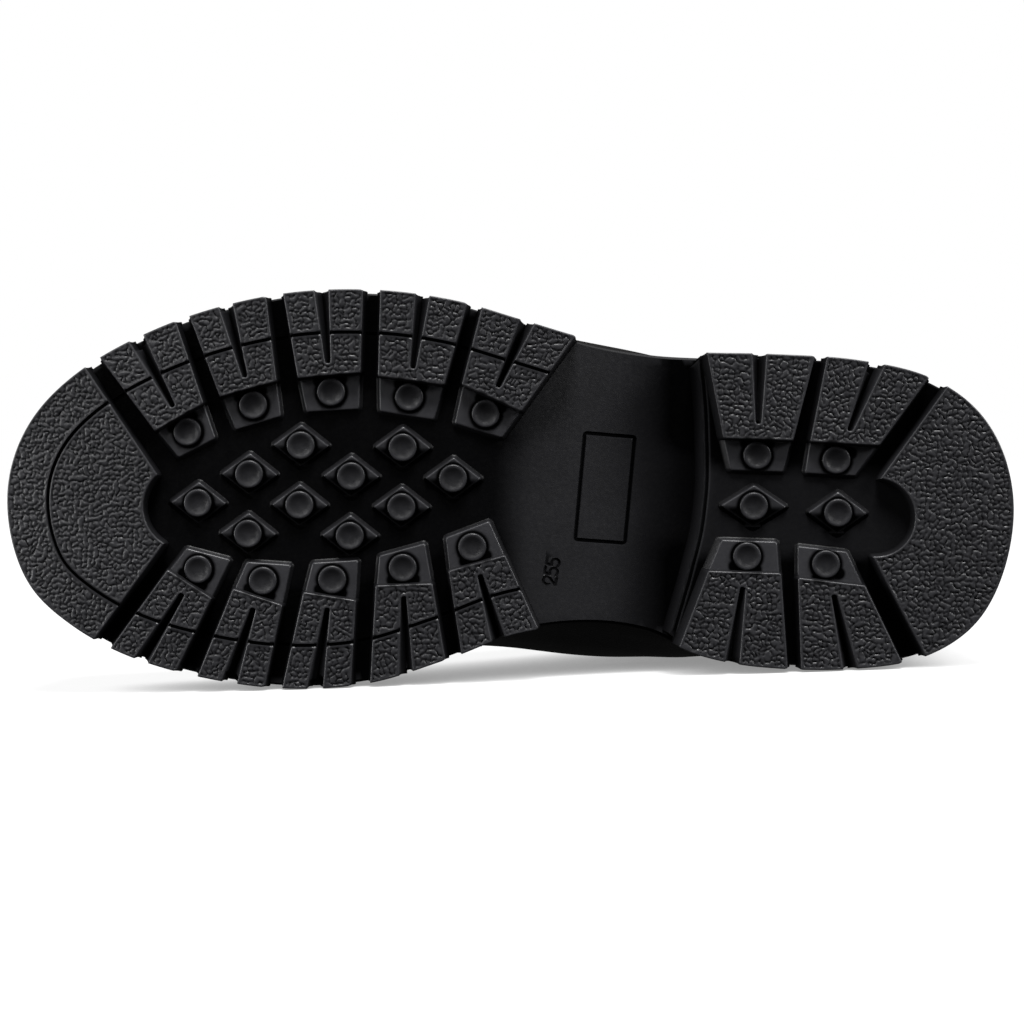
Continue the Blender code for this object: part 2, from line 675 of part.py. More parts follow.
def make_insole(parts):
    """The insole: a thick board inside the welt and the upper, lying on the outsole."""
    inset = -WALL - 3.2 * GAP
    low = -GAP - WELT_THICKNESS
    top = low + INSOLE_THICKNESS
    loops = [feather_loop(EDGE_POINTS, inset, low), feather_loop(EDGE_POINTS, inset, top - 1.5),
             feather_loop(EDGE_POINTS, inset - 1.8, top)]
    insole = stack("insole", loops, textile(), parts)
    shade(insole)


# Upper ----------------------------------------------------------------------------
def throat_cutter(cutters):
    """Solid that opens the throat, from its rounded lower end to past the top of the shaft."""
    levels = [THROAT_LEVEL + THROAT_ROUND * (1 - cos(pi / 2 * i / 4)) for i in range(5)]
    levels += [7.8, 8.8, 9.8, 10.6, 11.4]
    loops = []
    for level in levels:
        t = min((level - THROAT_LEVEL) / THROAT_ROUND, 1.0)
        half = throat_half(level) * max(sqrt(1 - (1 - t) ** 2), 0.08)
        loop = []
        for y, offset in ((half, 9.0), (half, -9.0), (-half, -9.0), (-half, 9.0)):
            loop.append(form_offset(level, front_angle(level, y), offset))
        loops.append(loop)
    points = [point for loop in loops for point in loop]
    faces = [(0, 1, 2, 3), tuple(len(points) - 4 + i for i in range(4))]
    for k in range(len(loops) - 1):
        faces += walls(4 * k, 4 * k + 4, 4)
    return new_object("throat_cutter", points, faces, leather(), cutters)


def make_upper(parts, cutters):
    """The upper: an open skin through the loops, thickened inwards and cut at the throat."""
    levels = range(1, int(COLLAR_LEVELS[0]) + 1)
    outer = [feather_loop(UPPER_POINTS, 0.0)] + [form_loop(level, 0.0) for level in levels]
    inner = [form_loop(level, -WALL) for level in reversed(levels)] + [feather_loop(UPPER_POINTS, -WALL)]
    upper = ring_body("upper", outer + inner, leather(), parts)
    boolean(upper, throat_cutter(cutters), "DIFFERENCE")
    clean(upper)
    shade(upper, 0.7)


def closed_form(name, offset, drop, top_level, collection):
    """The upper's form as a closed body, offset outwards, its lower edge moved down by drop."""
    loops = [feather_loop(UPPER_POINTS, offset)] + [form_loop(level, offset) for level in range(1, top_level + 1)]
    if drop:
        loops.insert(0, feather_loop(UPPER_POINTS, offset, -drop))
    return stack(name, loops, leather(), collection)


def region(name, outline, cutters):
    """A wide prism across the boot over an outline in the x-z plane."""
    count = len(outline)
    points = [(x, -90.0, z) for x, z in outline] + [(x, 90.0, z) for x, z in outline]
    faces = [tuple(range(count)), tuple(range(count, 2 * count))] + walls(0, count, count)
    return new_object(name, points, faces, leather(), cutters)


def overlay(name, zone, parts, cutters):
    """A skin that stands proud of the upper inside a zone."""
    made = closed_form(name, OVERLAY_GAP + OVERLAY, 0.0, 10, parts)
    inner = closed_form(name + "_inner", OVERLAY_GAP, OVERLAY_DROP, 11, cutters)
    boolean(made, inner, "DIFFERENCE")
    boolean(made, zone, "INTERSECT")
    clean(made)
    shade(made, 0.7)


def make_toe_cap(parts, cutters):
    """The toe cap, with its back edge swept forward down the sides."""
    top = 90.0
    edge = []
    for i in range(7):
        z = 16.0 + (top - 16.0) * i / 6
        edge.append((CAP_LINE + CAP_SWEEP * (1 - i / 6) ** 1.5, z))
    zone = region("cap_zone", edge + [(310.0, top), (310.0, -20.0), (edge[0][0], -20.0)], cutters)
    overlay("toe_cap", zone, parts, cutters)


def make_heel_counter(parts, cutters):
    """The heel counter, lower at the front than at the back."""
    rise = []
    for i in range(7):
        turn = pi / 2 * i / 6
        rise.append((COUNTER_FRONT * sin(turn) ** 0.9 - 2.0 * cos(turn), 40.0 + (COUNTER_TOP - 40.0) * cos(turn)))
    outline = [(-30.0, COUNTER_TOP)] + rise + [(COUNTER_FRONT, -20.0), (-30.0, -20.0)]
    zone = region("counter_zone", outline, cutters)
    overlay("heel_counter", zone, parts, cutters)


def make_collar(parts):
    """The padded collar: an oval bar round the top of the shaft, open at the throat."""
    low, high = COLLAR_LEVELS
    middle_level = (low + high) / 2
    start = front_angle(middle_level, throat_half(low) + 1.5)
    stop = front_angle(middle_level, -throat_half(low) - 1.5) - 2 * pi
    loops = []
    for i in range(COLLAR_STATIONS):
        angle = start + (stop - start) * i / (COLLAR_STATIONS - 1)
        end = min(i, COLLAR_STATIONS - 1 - i)
        size = (0.55, 0.9, 1.0)[min(end, 2)]
        base, top = form_point(low, angle), form_point(high, angle)
        up, out = (top - base) / 2, form_normal(middle_level, angle)
        out = (out - up * out.dot(up) / up.length_squared).normalized()
        half_high = up.length - 1.5 * GAP
        centre = (base + top) / 2 - out * (COLLAR_HALF_THICK - COLLAR_PROUD)
        loop = []
        for k in range(COLLAR_SIDES):
            turn = 2 * pi * (k + 0.5) / COLLAR_SIDES
            reach_up = np.sign(sin(turn)) * abs(sin(turn)) ** 0.75
            reach_out = np.sign(cos(turn)) * abs(cos(turn)) ** 0.75
            loop.append(centre + up.normalized() * half_high * size * reach_up
                        + out * COLLAR_HALF_THICK * size * reach_out)
        loops.append(loop)
    count = COLLAR_SIDES
    points = [point for loop in loops for point in loop]
    faces = [tuple(range(count)), tuple(range(len(points) - count, len(points)))]
    for k in range(len(loops) - 1):
        faces += walls(k * count, (k + 1) * count, count)
    collar = new_object("collar", points, faces, leather(), parts)
    shade(collar, 0.9)


def make_tongue(parts):
    """The tongue: a padded strip under the throat, standing a little above the collar."""
    rows, across = 12, 9
    skins = []
    for depth in (WALL + 2 * GAP, WALL + 2 * GAP + TONGUE_THICKNESS):
        skin = []
        for i in range(rows):
            t = i / (rows - 1)
            level = TONGUE_LEVELS[0] + (TONGUE_LEVELS[1] - TONGUE_LEVELS[0]) * t
            inside = COLLAR_HALF_THICK * 1.4 * min(max((level - 10.3) / 1.0, 0.0), 1.0)
            half = TONGUE_HALF[0] + (TONGUE_HALF[1] - TONGUE_HALF[0]) * t
            half *= 1 - 0.35 * max(t - 0.9, 0.0) / 0.1
            for k in range(across):
                y = half * (2 * k / (across - 1) - 1)
                edge = abs(2 * k / (across - 1) - 1) ** 3
                sunk = depth + inside - (depth - WALL - 2 * GAP) * 0.5 * edge
                point = form_offset(level, front_angle(level, y), -sunk)
                skin.append(point)
        skins.append(skin)
    size = rows * across
    faces = []
    for i in range(rows - 1):
        for k in range(across - 1):
            a = i * across + k
            quad = (a, a + 1, a + across + 1, a + across)
            faces += [quad, tuple(size + j for j in quad)]
    border = [k for k in range(across)] + [i * across + across - 1 for i in range(1, rows)]
    border += [(rows - 1) * across + k for k in range(across - 2, -1, -1)]
    border += [i * across for i in range(rows - 2, 0, -1)]
    for a, b in zip(border, border[1:] + border[:1]):
        faces.append((a, b, size + b, size + a))
    tongue = new_object("tongue", skins[0] + skins[1], faces, leather(), parts)
    shade(tongue, 0.9)


# Trim -----------------------------------------------------------------------------
def eyelet_place(pair, side):
    """Level and angle of an eyelet's centre."""
    level = ridge_level(EYELET_FIRST + EYELET_PITCH * pair)
    return level, front_angle(level, side * (throat_half(level) + EYELET_INSET))


def make_eyelets(parts):
    """Rings on both facings."""
    for pair in range(EYELET_PAIRS):
        for side, word in ((1, "outer"), (-1, "inner")):
            level, angle = eyelet_place(pair, side)
            normal = form_normal(level, angle)
            centre = form_offset(level, angle, EYELET_LIFT)
            u = normal.orthogonal().normalized()
            v = normal.cross(u)
            loops = []
            for radius, lift in ((EYELET_BORE, 0.0), (EYELET_OUTER, 0.0),
                                 (EYELET_OUTER - 0.9, EYELET_THICK), (EYELET_BORE + 0.5, EYELET_THICK)):
                loops.append([centre + normal * lift
                              + (u * cos(2 * pi * i / EYELET_SIDES) + v * sin(2 * pi * i / EYELET_SIDES)) * radius
                              for i in range(EYELET_SIDES)])
            ring = ring_body(f"eyelet_{word}_{pair + 1}", loops, steel(), parts)
            shade(ring)


def lace_bar(name, route, collection):
    """A bar of lace along the points of its route."""
    curve = bpy.data.curves.new(name, "CURVE")
    curve.dimensions = "3D"
    curve.bevel_depth = LACE_RADIUS * MM
    curve.bevel_resolution = 2
    curve.use_fill_caps = True
    spline = curve.splines.new("POLY")
    spline.points.add(len(route) - 1)
    for point, place in zip(spline.points, route):
        point.co = (*(place * MM), 1.0)
    source = bpy.data.objects.new(name + "_curve", curve)
    collection.objects.link(source)
    bpy.context.view_layer.update()
    mesh = bpy.data.meshes.new_from_object(source.evaluated_get(bpy.context.evaluated_depsgraph_get()))
    bpy.data.objects.remove(source)
    mesh.name = name
    mesh.materials.clear()
    mesh.materials.append(textile())
    made = bpy.data.objects.new(name, mesh)
    collection.objects.link(made)
    clean(made)
    return made


def lace_route(first, last, side, bump):
    """Points from the eyelet of pair first on one side to that of pair last on the other,
    following the form at a height that clears the eyelets, with a bump where bars cross."""
    height = EYELET_LIFT + EYELET_THICK + LACE_RADIUS + GAP
    route = []
    for i in range(LACE_STEPS + 1):
        t = LACE_TRIM + (1 - 2 * LACE_TRIM) * i / LACE_STEPS
        level = ridge_level(EYELET_FIRST + EYELET_PITCH * (first + (last - first) * t))
        y = side * (1 - 2 * t) * (throat_half(level) + EYELET_INSET)
        route.append(form_offset(level, front_angle(level, y), height + bump * sin(pi * t) ** 2))
    return route


def make_laces(parts, cutters):
    """The crossings between the eyelet pairs and the straight bar at the lowest pair."""
    for pair in range(EYELET_PAIRS - 1):
        over = lace_bar(f"lace_crossing_{pair + 1}", lace_route(pair, pair + 1, 1, LACE_BUMP), parts)
        under = lace_bar(f"lace_under_{pair + 1}", lace_route(pair, pair + 1, -1, -LACE_BUMP), cutters)
        boolean(over, under, "UNION")
        clean(over)
        shade(over, 0.9)
    low = LACE_BAR_DROP / EYELET_PITCH
    shade(lace_bar("lace_bar", lace_route(-low, -low, 1, 0.0), parts), 0.9)


def make_pull_loop(parts):
    """The pull loop: a webbing strip over the back of the collar."""
    low, high = COLLAR_LEVELS
    back_low, back_high = form_point(low, 0.0), form_point(high, 0.0)
    outside = min(back_low.x, back_high.x) - COLLAR_PROUD - GAP
    inside = max(back_low.x, back_high.x) + 2 * COLLAR_HALF_THICK - COLLAR_PROUD + GAP + LOOP_INSIDE_ROOM
    top = back_high.z + LOOP_RISE
    half = (inside - outside) / 2 + LOOP_THICK
    centre = (inside + outside) / 2
    bottom_out, bottom_in = top - half - LOOP_LEG, back_low.z + 4.0
    outer, inner = [], []
    for i in range(9):
        turn = pi * i / 8
        outer.append((centre - half * cos(turn), top - half + half * sin(turn)))
        inner.append((centre - (half - LOOP_THICK) * cos(turn), top - half + (half - LOOP_THICK) * sin(turn)))
    band = [(centre - half, bottom_out)] + outer + [(centre + half, bottom_in)]
    band += [(centre + half - LOOP_THICK, bottom_in)] + inner[::-1] + [(centre - half + LOOP_THICK, bottom_out)]
    count = len(band)
    y = form_point(high, 0.0).y
    points = [(x, y - LOOP_WIDTH / 2, z) for x, z in band] + [(x, y + LOOP_WIDTH / 2, z) for x, z in band]
    half_count = count // 2
    side_faces = [(i, i + 1, count - 2 - i, count - 1 - i) for i in range(half_count - 1)]
    faces = side_faces + [tuple(count + i for i in face) for face in side_faces] + walls(0, count, count)
    loop = new_object("pull_loop", points, faces, textile(), parts)
    shade(loop)


# Laying the boot down -------------------------------------------------------------
def world_points(objects):
    """All mesh points of the objects, in metres, in the standing frame."""
    return [vert.co.copy() for made in objects for vert in made.data.vertices]


def centre_of_volume(objects):
    """Centre of the solids' volume, from the tetrahedra on their faces."""
    total, moment = 0.0, Vector()
    for made in objects:
        made.data.calc_loop_triangles()
        for triangle in made.data.loop_triangles:
            a, b, c = (made.data.vertices[i].co for i in triangle.vertices)
            volume = a.dot(b.cross(c)) / 6
            total += volume
            moment += (a + b + c) * volume / 4
    return moment / total


def resting_normal(points, centre):
    """Outward normal of the flat that the boot's inner side rests on: the face of the
    points' convex hull that lies straight under the centre of volume."""
    hull = bmesh.new()
    for point in points:
        hull.verts.new(point)
    bmesh.ops.convex_hull(hull, input=hull.verts)
    hull.normal_update()
    found = None
    for face in hull.faces:
        if face.normal.y > -0.8:
            continue
        a, b, c = (vert.co for vert in face.verts[:3])
        foot = centre - face.normal * (centre - a).dot(face.normal)
        turns = [(q - p).cross(foot - p).dot(face.normal) for p, q in ((a, b), (b, c), (c, a))]
        if min(turns) >= 0 or max(turns) <= 0:
            found = face.normal.copy()
    hull.free()
    return found


def lay_down(objects):
    """Turn the boot onto its inner side, toe towards -X, origin under its middle."""
    points = world_points(objects)
    normal = resting_normal(points, centre_of_volume(objects))
    up = -normal
    toe = (Vector((1, 0, 0)) - up * up.x).normalized()
    back = up.cross(-toe)
    turn = Matrix((-toe, back, up))
    turned = [turn @ point for point in points]
    low = Vector([min(point[i] for point in turned) for i in range(3)])
    high = Vector([max(point[i] for point in turned) for i in range(3)])
    holder = bpy.data.objects.new("boot_lie", None)
    bpy.context.scene.collection.objects.link(holder)
    holder.matrix_world = turn.to_4x4()
    holder.location = Vector((-(low.x + high.x) / 2, -(low.y + high.y) / 2, -low.z))
    for made in objects:
        made.parent = holder


def build():
    """Make every piece and lay the boot down."""
    for old in list(bpy.data.objects):
        bpy.data.objects.remove(old)
    parts = bpy.data.collections.new("steel_toe_boot")
    cutters = bpy.data.collections.new("cutters")
    for collection in (parts, cutters):
        bpy.context.scene.collection.children.link(collection)
    make_outsole(parts, cutters)
    make_welt(parts)
    make_insole(parts)
    make_upper(parts, cutters)
    make_toe_cap(parts, cutters)
    make_heel_counter(parts, cutters)
    make_collar(parts)
    make_tongue(parts)
    make_eyelets(parts)
    make_laces(parts, cutters)
    make_pull_loop(parts)
    for cutter in cutters.objects:
        cutter.hide_render = True
        cutter.display_type = "WIRE"
    lay_down(list(parts.objects))


build()
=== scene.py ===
"""Steel toe boot, left foot, lying on its inner side: the finish of every piece.

Sizes are millimetres in the boot's own standing frame, where x runs from the back of the
heel to the toe, y towards the outer side and z up from the tread. Stand.place turns them
into metres in the frame, where the boot lies with its tread facing -Y.
"""
import json
import logging
from dataclasses import dataclass, field
from enum import Enum
from math import pi
from typing import Callable, NamedTuple, Sequence

import bmesh
import bpy
import numpy as np
from mathutils import Matrix, Vector
from mathutils.geometry import delaunay_2d_cdt


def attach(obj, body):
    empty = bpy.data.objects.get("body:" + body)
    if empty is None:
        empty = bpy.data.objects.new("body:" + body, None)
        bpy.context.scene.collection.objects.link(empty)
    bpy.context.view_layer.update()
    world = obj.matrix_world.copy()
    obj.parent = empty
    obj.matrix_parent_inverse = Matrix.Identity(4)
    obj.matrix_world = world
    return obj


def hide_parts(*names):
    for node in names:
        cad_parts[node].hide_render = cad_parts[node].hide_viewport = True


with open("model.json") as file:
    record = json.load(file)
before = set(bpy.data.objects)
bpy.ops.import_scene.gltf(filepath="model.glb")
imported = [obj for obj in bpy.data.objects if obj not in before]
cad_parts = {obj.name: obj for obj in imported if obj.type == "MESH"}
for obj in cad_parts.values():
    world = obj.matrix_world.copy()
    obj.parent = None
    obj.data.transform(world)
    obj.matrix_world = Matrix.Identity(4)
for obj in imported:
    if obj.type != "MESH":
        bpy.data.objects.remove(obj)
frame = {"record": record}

log = logging.getLogger("boot")
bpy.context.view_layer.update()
MM = 0.001
WHITE = (1.0, 1.0, 1.0, 1.0)
TRACK_ROUND = 10.0  # how far a weave's track runs round a tube
SOFT_EDGE = (0.0, 0.15, 0.4, 0.8, 1.5)  # distances from a panel's border at which it is sampled
Array = np.ndarray
Object, Material, Socket = bpy.types.Object, bpy.types.Material, bpy.types.NodeSocket


# Curves --------------------------------------
def cubic(t: Array, span: Array, values: tuple, slopes: tuple) -> Array:
    """Cubic between two values with given slopes, at shares t of a span."""
    return ((1 + 2 * t) * (1 - t) ** 2 * values[0] + t * (1 - t) ** 2 * span * slopes[0]
            + t * t * (3 - 2 * t) * values[1] + t * t * (t - 1) * span * slopes[1])


def smooth(xs: Sequence[float], ys: Sequence, x: Array) -> Array:
    """Read smooth curves through given points that never overshoot them.

    Args:
        xs: Stations, rising.
        ys: One value for each station, or one row of values for each station.
        x: Where to read, as one value or an array.

    Returns:
        The values, in the shape of x.
    """
    xs, x = np.asarray(xs, float), np.asarray(x, float)
    rows = np.asarray(ys, float).reshape(len(xs), -1)
    at = np.clip(x.ravel(), xs[0], xs[-1])
    step = np.diff(xs)[:, None]
    rise = np.diff(rows, axis=0) / step
    slope = np.empty_like(rows)
    slope[0], slope[-1] = rise[0], rise[-1]
    near, far = 2 * step[1:] + step[:-1], step[1:] + 2 * step[:-1]
    with np.errstate(divide="ignore", invalid="ignore"):
        mean = (near + far) / (near / rise[:-1] + far / rise[1:])
    slope[1:-1] = np.where(rise[:-1] * rise[1:] > 0, mean, 0.0)
    i = np.clip(np.searchsorted(xs, at, side="right") - 1, 0, len(xs) - 2)
    k = np.arange(at.size) if rows.shape[1] > 1 else 0
    span = step[i, 0]
    value = cubic((at - xs[i]) / span, span, (rows[i, k], rows[i + 1, k]), (slope[i, k], slope[i + 1, k]))
    return value.reshape(x.shape)


def ease(t: Array) -> Array:
    """Soft step from 0 to 1."""
    t = np.clip(t, 0.0, 1.0)
    return t * t * (3 - 2 * t)


def quarter(t: Array) -> Array:
    """Quarter circle from 0 to 1, steep at first."""
    return np.sqrt(1 - (1 - np.clip(t, 0, 1)) ** 2)


def between(ends: Sequence[float], share: Array) -> Array:
    """Values at shares of the way between two ends."""
    return ends[0] + (ends[1] - ends[0]) * share


def turns(count: int) -> Array:
    """Even angles round a circle."""
    return 2 * pi * np.arange(count) / count


def unit(vectors: Array) -> Array:
    """Vectors scaled to length 1 along the last axis."""
    return vectors / np.maximum(np.linalg.norm(vectors, axis=-1, keepdims=True), 1e-12)


def turn_left(vectors: Array) -> Array:
    """Flat vectors turned a quarter turn to the left."""
    return np.stack([-vectors[..., 1], vectors[..., 0]], axis=-1)


def close(path: Array) -> Array:
    """The path with its first point again at its end."""
    return np.vstack([path, path[:1]])


def lengths(path: Array) -> Array:
    """Distance along a path at each of its points."""
    return np.concatenate([[0.0], np.cumsum(np.linalg.norm(np.diff(path, axis=0), axis=1))])


def resample(path: Array, pitch: float, closed: bool = False) -> Array:
    """Points at an even pitch along a path.

    Args:
        path: Points of the path, flat or in space.
        pitch: Distance wanted between points.
        closed: Whether the last point joins the first.

    Returns:
        The new points; a closed path doesn't repeat its first point.
    """
    path = close(path) if closed else np.asarray(path, float)
    along = lengths(path)
    count = max(int(round(along[-1] / pitch)), 2)
    at = np.linspace(0.0, along[-1], count + 1)
    found = np.stack([np.interp(at, along, path[:, k]) for k in range(path.shape[1])], axis=1)
    return found[:-1] if closed else found


# Sole's outline and the upper's form ---------
class EdgeRow(NamedTuple):
    """Distance of the sole's outline from the centre line at one station."""

    x: float
    outer: float
    inner: float


class Section(NamedTuple):
    """One loop of the upper, from its feather edge (level 0) to the collar."""

    front_x: float
    front_h: float
    back_x: float
    back_h: float
    heel: float
    waist: float
    ball: float
    round: float
    lean: float


@dataclass(frozen=True)
class Outline:
    """The sole seen from below, and its heights along the boot."""

    length: float = 291.5
    lug_height: float = 5.0
    waist_floor: float = 19.0
    waist_front: float = 158.0
    waist_back: float = 96.0
    spring_start: float = 200.0
    spring_rise: float = 12.0
    spring_run: float = 91.5
    edge: tuple = (
        EdgeRow(0.0, -1.0, -1.0), EdgeRow(8.0, 24.8, -29.8), EdgeRow(24.0, 37.2, -42.4),
        EdgeRow(46.0, 42.2, -46.7), EdgeRow(72.0, 43.4, -46.7), EdgeRow(90.0, 43.4, -43.6),
        EdgeRow(104.0, 43.9, -37.9), EdgeRow(122.0, 46.3, -35.9), EdgeRow(142.0, 51.6, -38.6),
        EdgeRow(162.0, 56.9, -46.4), EdgeRow(184.0, 59.4, -53.6), EdgeRow(208.0, 58.3, -55.7),
        EdgeRow(232.0, 53.0, -53.2), EdgeRow(254.0, 44.3, -47.6), EdgeRow(272.0, 33.4, -38.6),
        EdgeRow(285.0, 19.6, -26.4), EdgeRow(291.5, -2.6, -2.6))
    top_x: tuple = (0, 40, 80, 105, 130, 155, 180, 205, 291.5)
    top_z: tuple = (30.0, 28.8, 27.2, 24.6, 20.4, 15.6, 12.9, 12.0, 12.0)
    breast_y: tuple = (-50.0, -38.0, -20.0, -5.0, 8.0, 24.0, 50.0)
    breast_at: tuple = (100.0, 97.6, 92.9, 89.8, 88.9, 89.5, 92.6)

    def width(self, angle: Array) -> Array:
        """Outline's y where x is length * (1 - cos(angle)) / 2; 0 to pi is the outer side.

        Args:
            angle: Angles round the outline.

        Returns:
            The values of y.
        """
        turns = [2 * np.arcsin(np.sqrt(row.x / self.length)) for row in self.edge]
        ring = np.array(turns + [2 * pi - a for a in turns[-2:0:-1]])
        ys = np.array([row.outer for row in self.edge] + [row.inner for row in self.edge][-2:0:-1])
        ring = np.concatenate([ring[-2:] - 2 * pi, ring, ring[:3] + 2 * pi])
        ys = np.concatenate([ys[-2:], ys, ys[:3]])
        at = np.mod(angle, 2 * pi)
        i = np.clip(np.searchsorted(ring, at, side="right") - 1, 1, len(ring) - 3)
        a1, a2 = ring[i], ring[i + 1]
        slope1 = (ys[i + 1] - ys[i - 1]) / (a2 - ring[i - 1])
        slope2 = (ys[i + 2] - ys[i]) / (ring[i + 2] - a1)
        span = a2 - a1
        return cubic((at - a1) / span, span, (ys[i], ys[i + 1]), (slope1, slope2))

    def raw(self, angle: Array) -> Array:
        """Points of the outline."""
        angle = np.asarray(angle, float)
        return np.stack([self.length * (1 - np.cos(angle)) / 2, self.width(angle)], axis=-1)

    def point(self, angle: Array, inset: float = 0.0) -> Array:
        """Points of the outline, moved inwards by inset."""
        along = unit(self.raw(np.asarray(angle) + 0.01) - self.raw(np.asarray(angle) - 0.01))
        return self.raw(angle) - turn_left(along) * inset

    def angle(self, x: float, side: int) -> float:
        """Angle of the outline's point at station x on the outer (1) or inner (-1) side."""
        found = 2 * np.arcsin(np.sqrt(np.clip(x, 0.0, self.length) / self.length))
        return found if side > 0 else 2 * pi - found

    def middle(self, x: Array) -> Array:
        """Middle between the outline's two sides at a station."""
        swing = self.angle(x, 1)
        return (self.width(swing) + self.width(2 * pi - swing)) / 2

    def run(self, start: float, stop: float, pitch: float, inset: float = 0.0) -> Array:
        """Points of the outline from one angle to another, an even pitch apart."""
        return resample(self.point(np.linspace(start, stop, 400), inset), pitch)

    def spring(self, x: Array) -> Array:
        """How far the forefoot is bent up."""
        return self.spring_rise * (np.maximum(x - self.spring_start, 0.0) / self.spring_run) ** 2

    def floor(self, x: Array) -> Array:
        """Underside of the sole between the lugs, before the toe spring."""
        rise = ease((self.waist_front - x) / (self.waist_front - self.waist_back))
        return self.lug_height + (self.waist_floor - self.lug_height) * rise

    def top(self, x: Array) -> Array:
        """Top of the outsole, before the toe spring."""
        return smooth(self.top_x, self.top_z, x)

    def breast(self, y: Array) -> Array:
        """Station of the heel's breast."""
        return smooth(self.breast_y, self.breast_at, y)


OUTLINE = Outline()


class Crease(NamedTuple):
    """A soft trough in the leather: station on the ridge, depth, width, sweep and reach."""

    x: float
    depth: float
    width: float
    sweep: float
    reach: float


@dataclass(frozen=True)
class Form:
    """The upper's outer form: loops from the feather edge, on the welt, to the collar.

    stations are where the three widths of a section hold. The belly bulges beside the arch: its
    place is a station and a height, and it reaches so far behind, ahead and up.
    """

    welt: float = 4.0
    wall: float = 2.4
    gap: float = 0.3
    roundness: float = 2.15
    heel_end: float = 45.0
    stations: tuple = (45.0, 115.0, 200.0)
    throat_level: float = 6.75
    throat_full: float = 7.1
    throat_halves: tuple = (9.0, 15.0)
    collar: tuple = (11.0, 12.0)
    collar_half: float = 5.2
    collar_proud: float = 2.0
    belly: float = 8.6
    belly_at: tuple = (117.0, 62.0)
    belly_reach: tuple = (40.0, 54.0, 22.0)
    sections: tuple = (
        Section(285.6, 0, 5.0, 0, 37.5, 37.0, 51.5, 80, 1.00),
        Section(287.0, 11, 3.0, 10, 39.5, 40.5, 53.3, 80, 1.00),
        Section(285.5, 23, 2.4, 22, 39.5, 42.0, 51.5, 78, 0.95),
        Section(279.5, 33, 3.0, 34, 38.2, 42.0, 46.5, 76, 0.85),
        Section(267.0, 40, 4.5, 46, 37.0, 41.0, 40.5, 76, 0.75),
        Section(248.0, 45, 6.0, 58, 36.0, 39.5, 35.5, 76, 0.60),
        Section(224.0, 52, 7.0, 69, 36.0, 38.5, 33.0, 76, 0.50),
        Section(199.0, 62, 7.2, 79, 36.5, 38.0, 32.0, 74, 0.40),
        Section(174.0, 74, 6.5, 89, 37.5, 38.5, 32.0, 70, 0.30),
        Section(151.0, 87, 5.5, 99, 39.0, 39.5, 32.0, 66, 0.20),
        Section(132.0, 102, 4.5, 109, 40.3, 41.0, 32.0, 60, 0.10),
        Section(119.0, 118, 4.0, 117, 41.5, 42.3, 32.0, 56, 0.00),
        Section(113.0, 138, 3.6, 136, 42.0, 43.0, 32.0, 54, 0.00),
        Section(110.0, 152, 3.4, 150, 42.0, 43.0, 32.0, 54, 0.00))
    creases: tuple = (
        Crease(229.5, 0.75, 3.0, 0.004, 46.0), Crease(221.0, 0.95, 3.4, 0.006, 50.0),
        Crease(212.0, 0.6, 2.8, 0.008, 44.0))
    crease_ridge: float = 0.35

    def section(self, level: Array) -> Section:
        """The loops at any levels, read between the rows of sections."""
        levels = range(len(self.sections))
        return Section(*(smooth(levels, column, level) for column in zip(*self.sections)))

    def feather(self, x: Array) -> Array:
        """Height of the upper's lower edge, on the welt."""
        return OUTLINE.top(x) + OUTLINE.spring(x) + self.welt + 2 * self.gap

    def bare(self, level: Array, angle: Array) -> Array:
        """Points of the form without creases; 0 is the heel, 0 to pi the outer side.

        Args:
            level: Levels, 0 at the feather edge.
            angle: Angles round the loops.

        Returns:
            The points.
        """
        level, angle = np.broadcast_arrays(np.asarray(level, float), np.asarray(angle, float))
        row = self.section(level)
        x = row.back_x + (row.front_x - row.back_x) * (1 - np.cos(angle)) / 2
        centre = row.lean * OUTLINE.middle(x)
        widths = np.stack([row.heel.ravel(), row.waist.ravel(), row.ball.ravel()])
        side = smooth(self.stations, widths, x.ravel()).reshape(x.shape)
        reach = np.where(x < self.heel_end, (self.heel_end - x) / (self.heel_end - row.back_x),
                         np.clip((x - row.front_x + row.round) / row.round, 0.0, 1.0))
        half = side * np.maximum(1 - np.clip(reach, 0, 1) ** self.roundness, 0.0) ** (1 / self.roundness)
        sign = np.where(np.mod(angle, 2 * pi) < pi, 1.0, -1.0)
        t = (x - row.back_x) / (row.front_x - row.back_x)
        z = self.feather(x) + row.back_h + (row.front_h - row.back_h) * t
        return np.stack([x, centre + sign * half - self.bulge(x, z, half) * (sign < 0), z], axis=-1)

    def bulge(self, x: Array, z: Array, half: Array) -> Array:
        """How far the inner side stands out beside the arch, fading to nothing at the form's ends.

        Args:
            x: Stations.
            z: Heights.
            half: Half-widths of the loops there.

        Returns:
            The distances.
        """
        behind, ahead, up = self.belly_reach
        along = (x - self.belly_at[0]) / np.where(x > self.belly_at[0], ahead, behind)
        above = (z - self.belly_at[1]) / up
        return self.belly * np.exp(-along ** 2 - above ** 2) * np.minimum(half / 20, 1)

    def normal(self, level: Array, angle: Array) -> Array:
        """Outward normals of the form.

        Args:
            level: Levels.
            angle: Angles round the loops.

        Returns:
            Unit vectors.
        """
        top = len(self.sections) - 1
        low, high = np.maximum(np.asarray(level) - 0.1, 0), np.minimum(np.asarray(level) + 0.1, top)
        up = self.bare(high, angle) - self.bare(low, angle)
        around = self.bare(level, np.asarray(angle) + 0.05) - self.bare(level, np.asarray(angle) - 0.05)
        return -unit(np.cross(around, up))

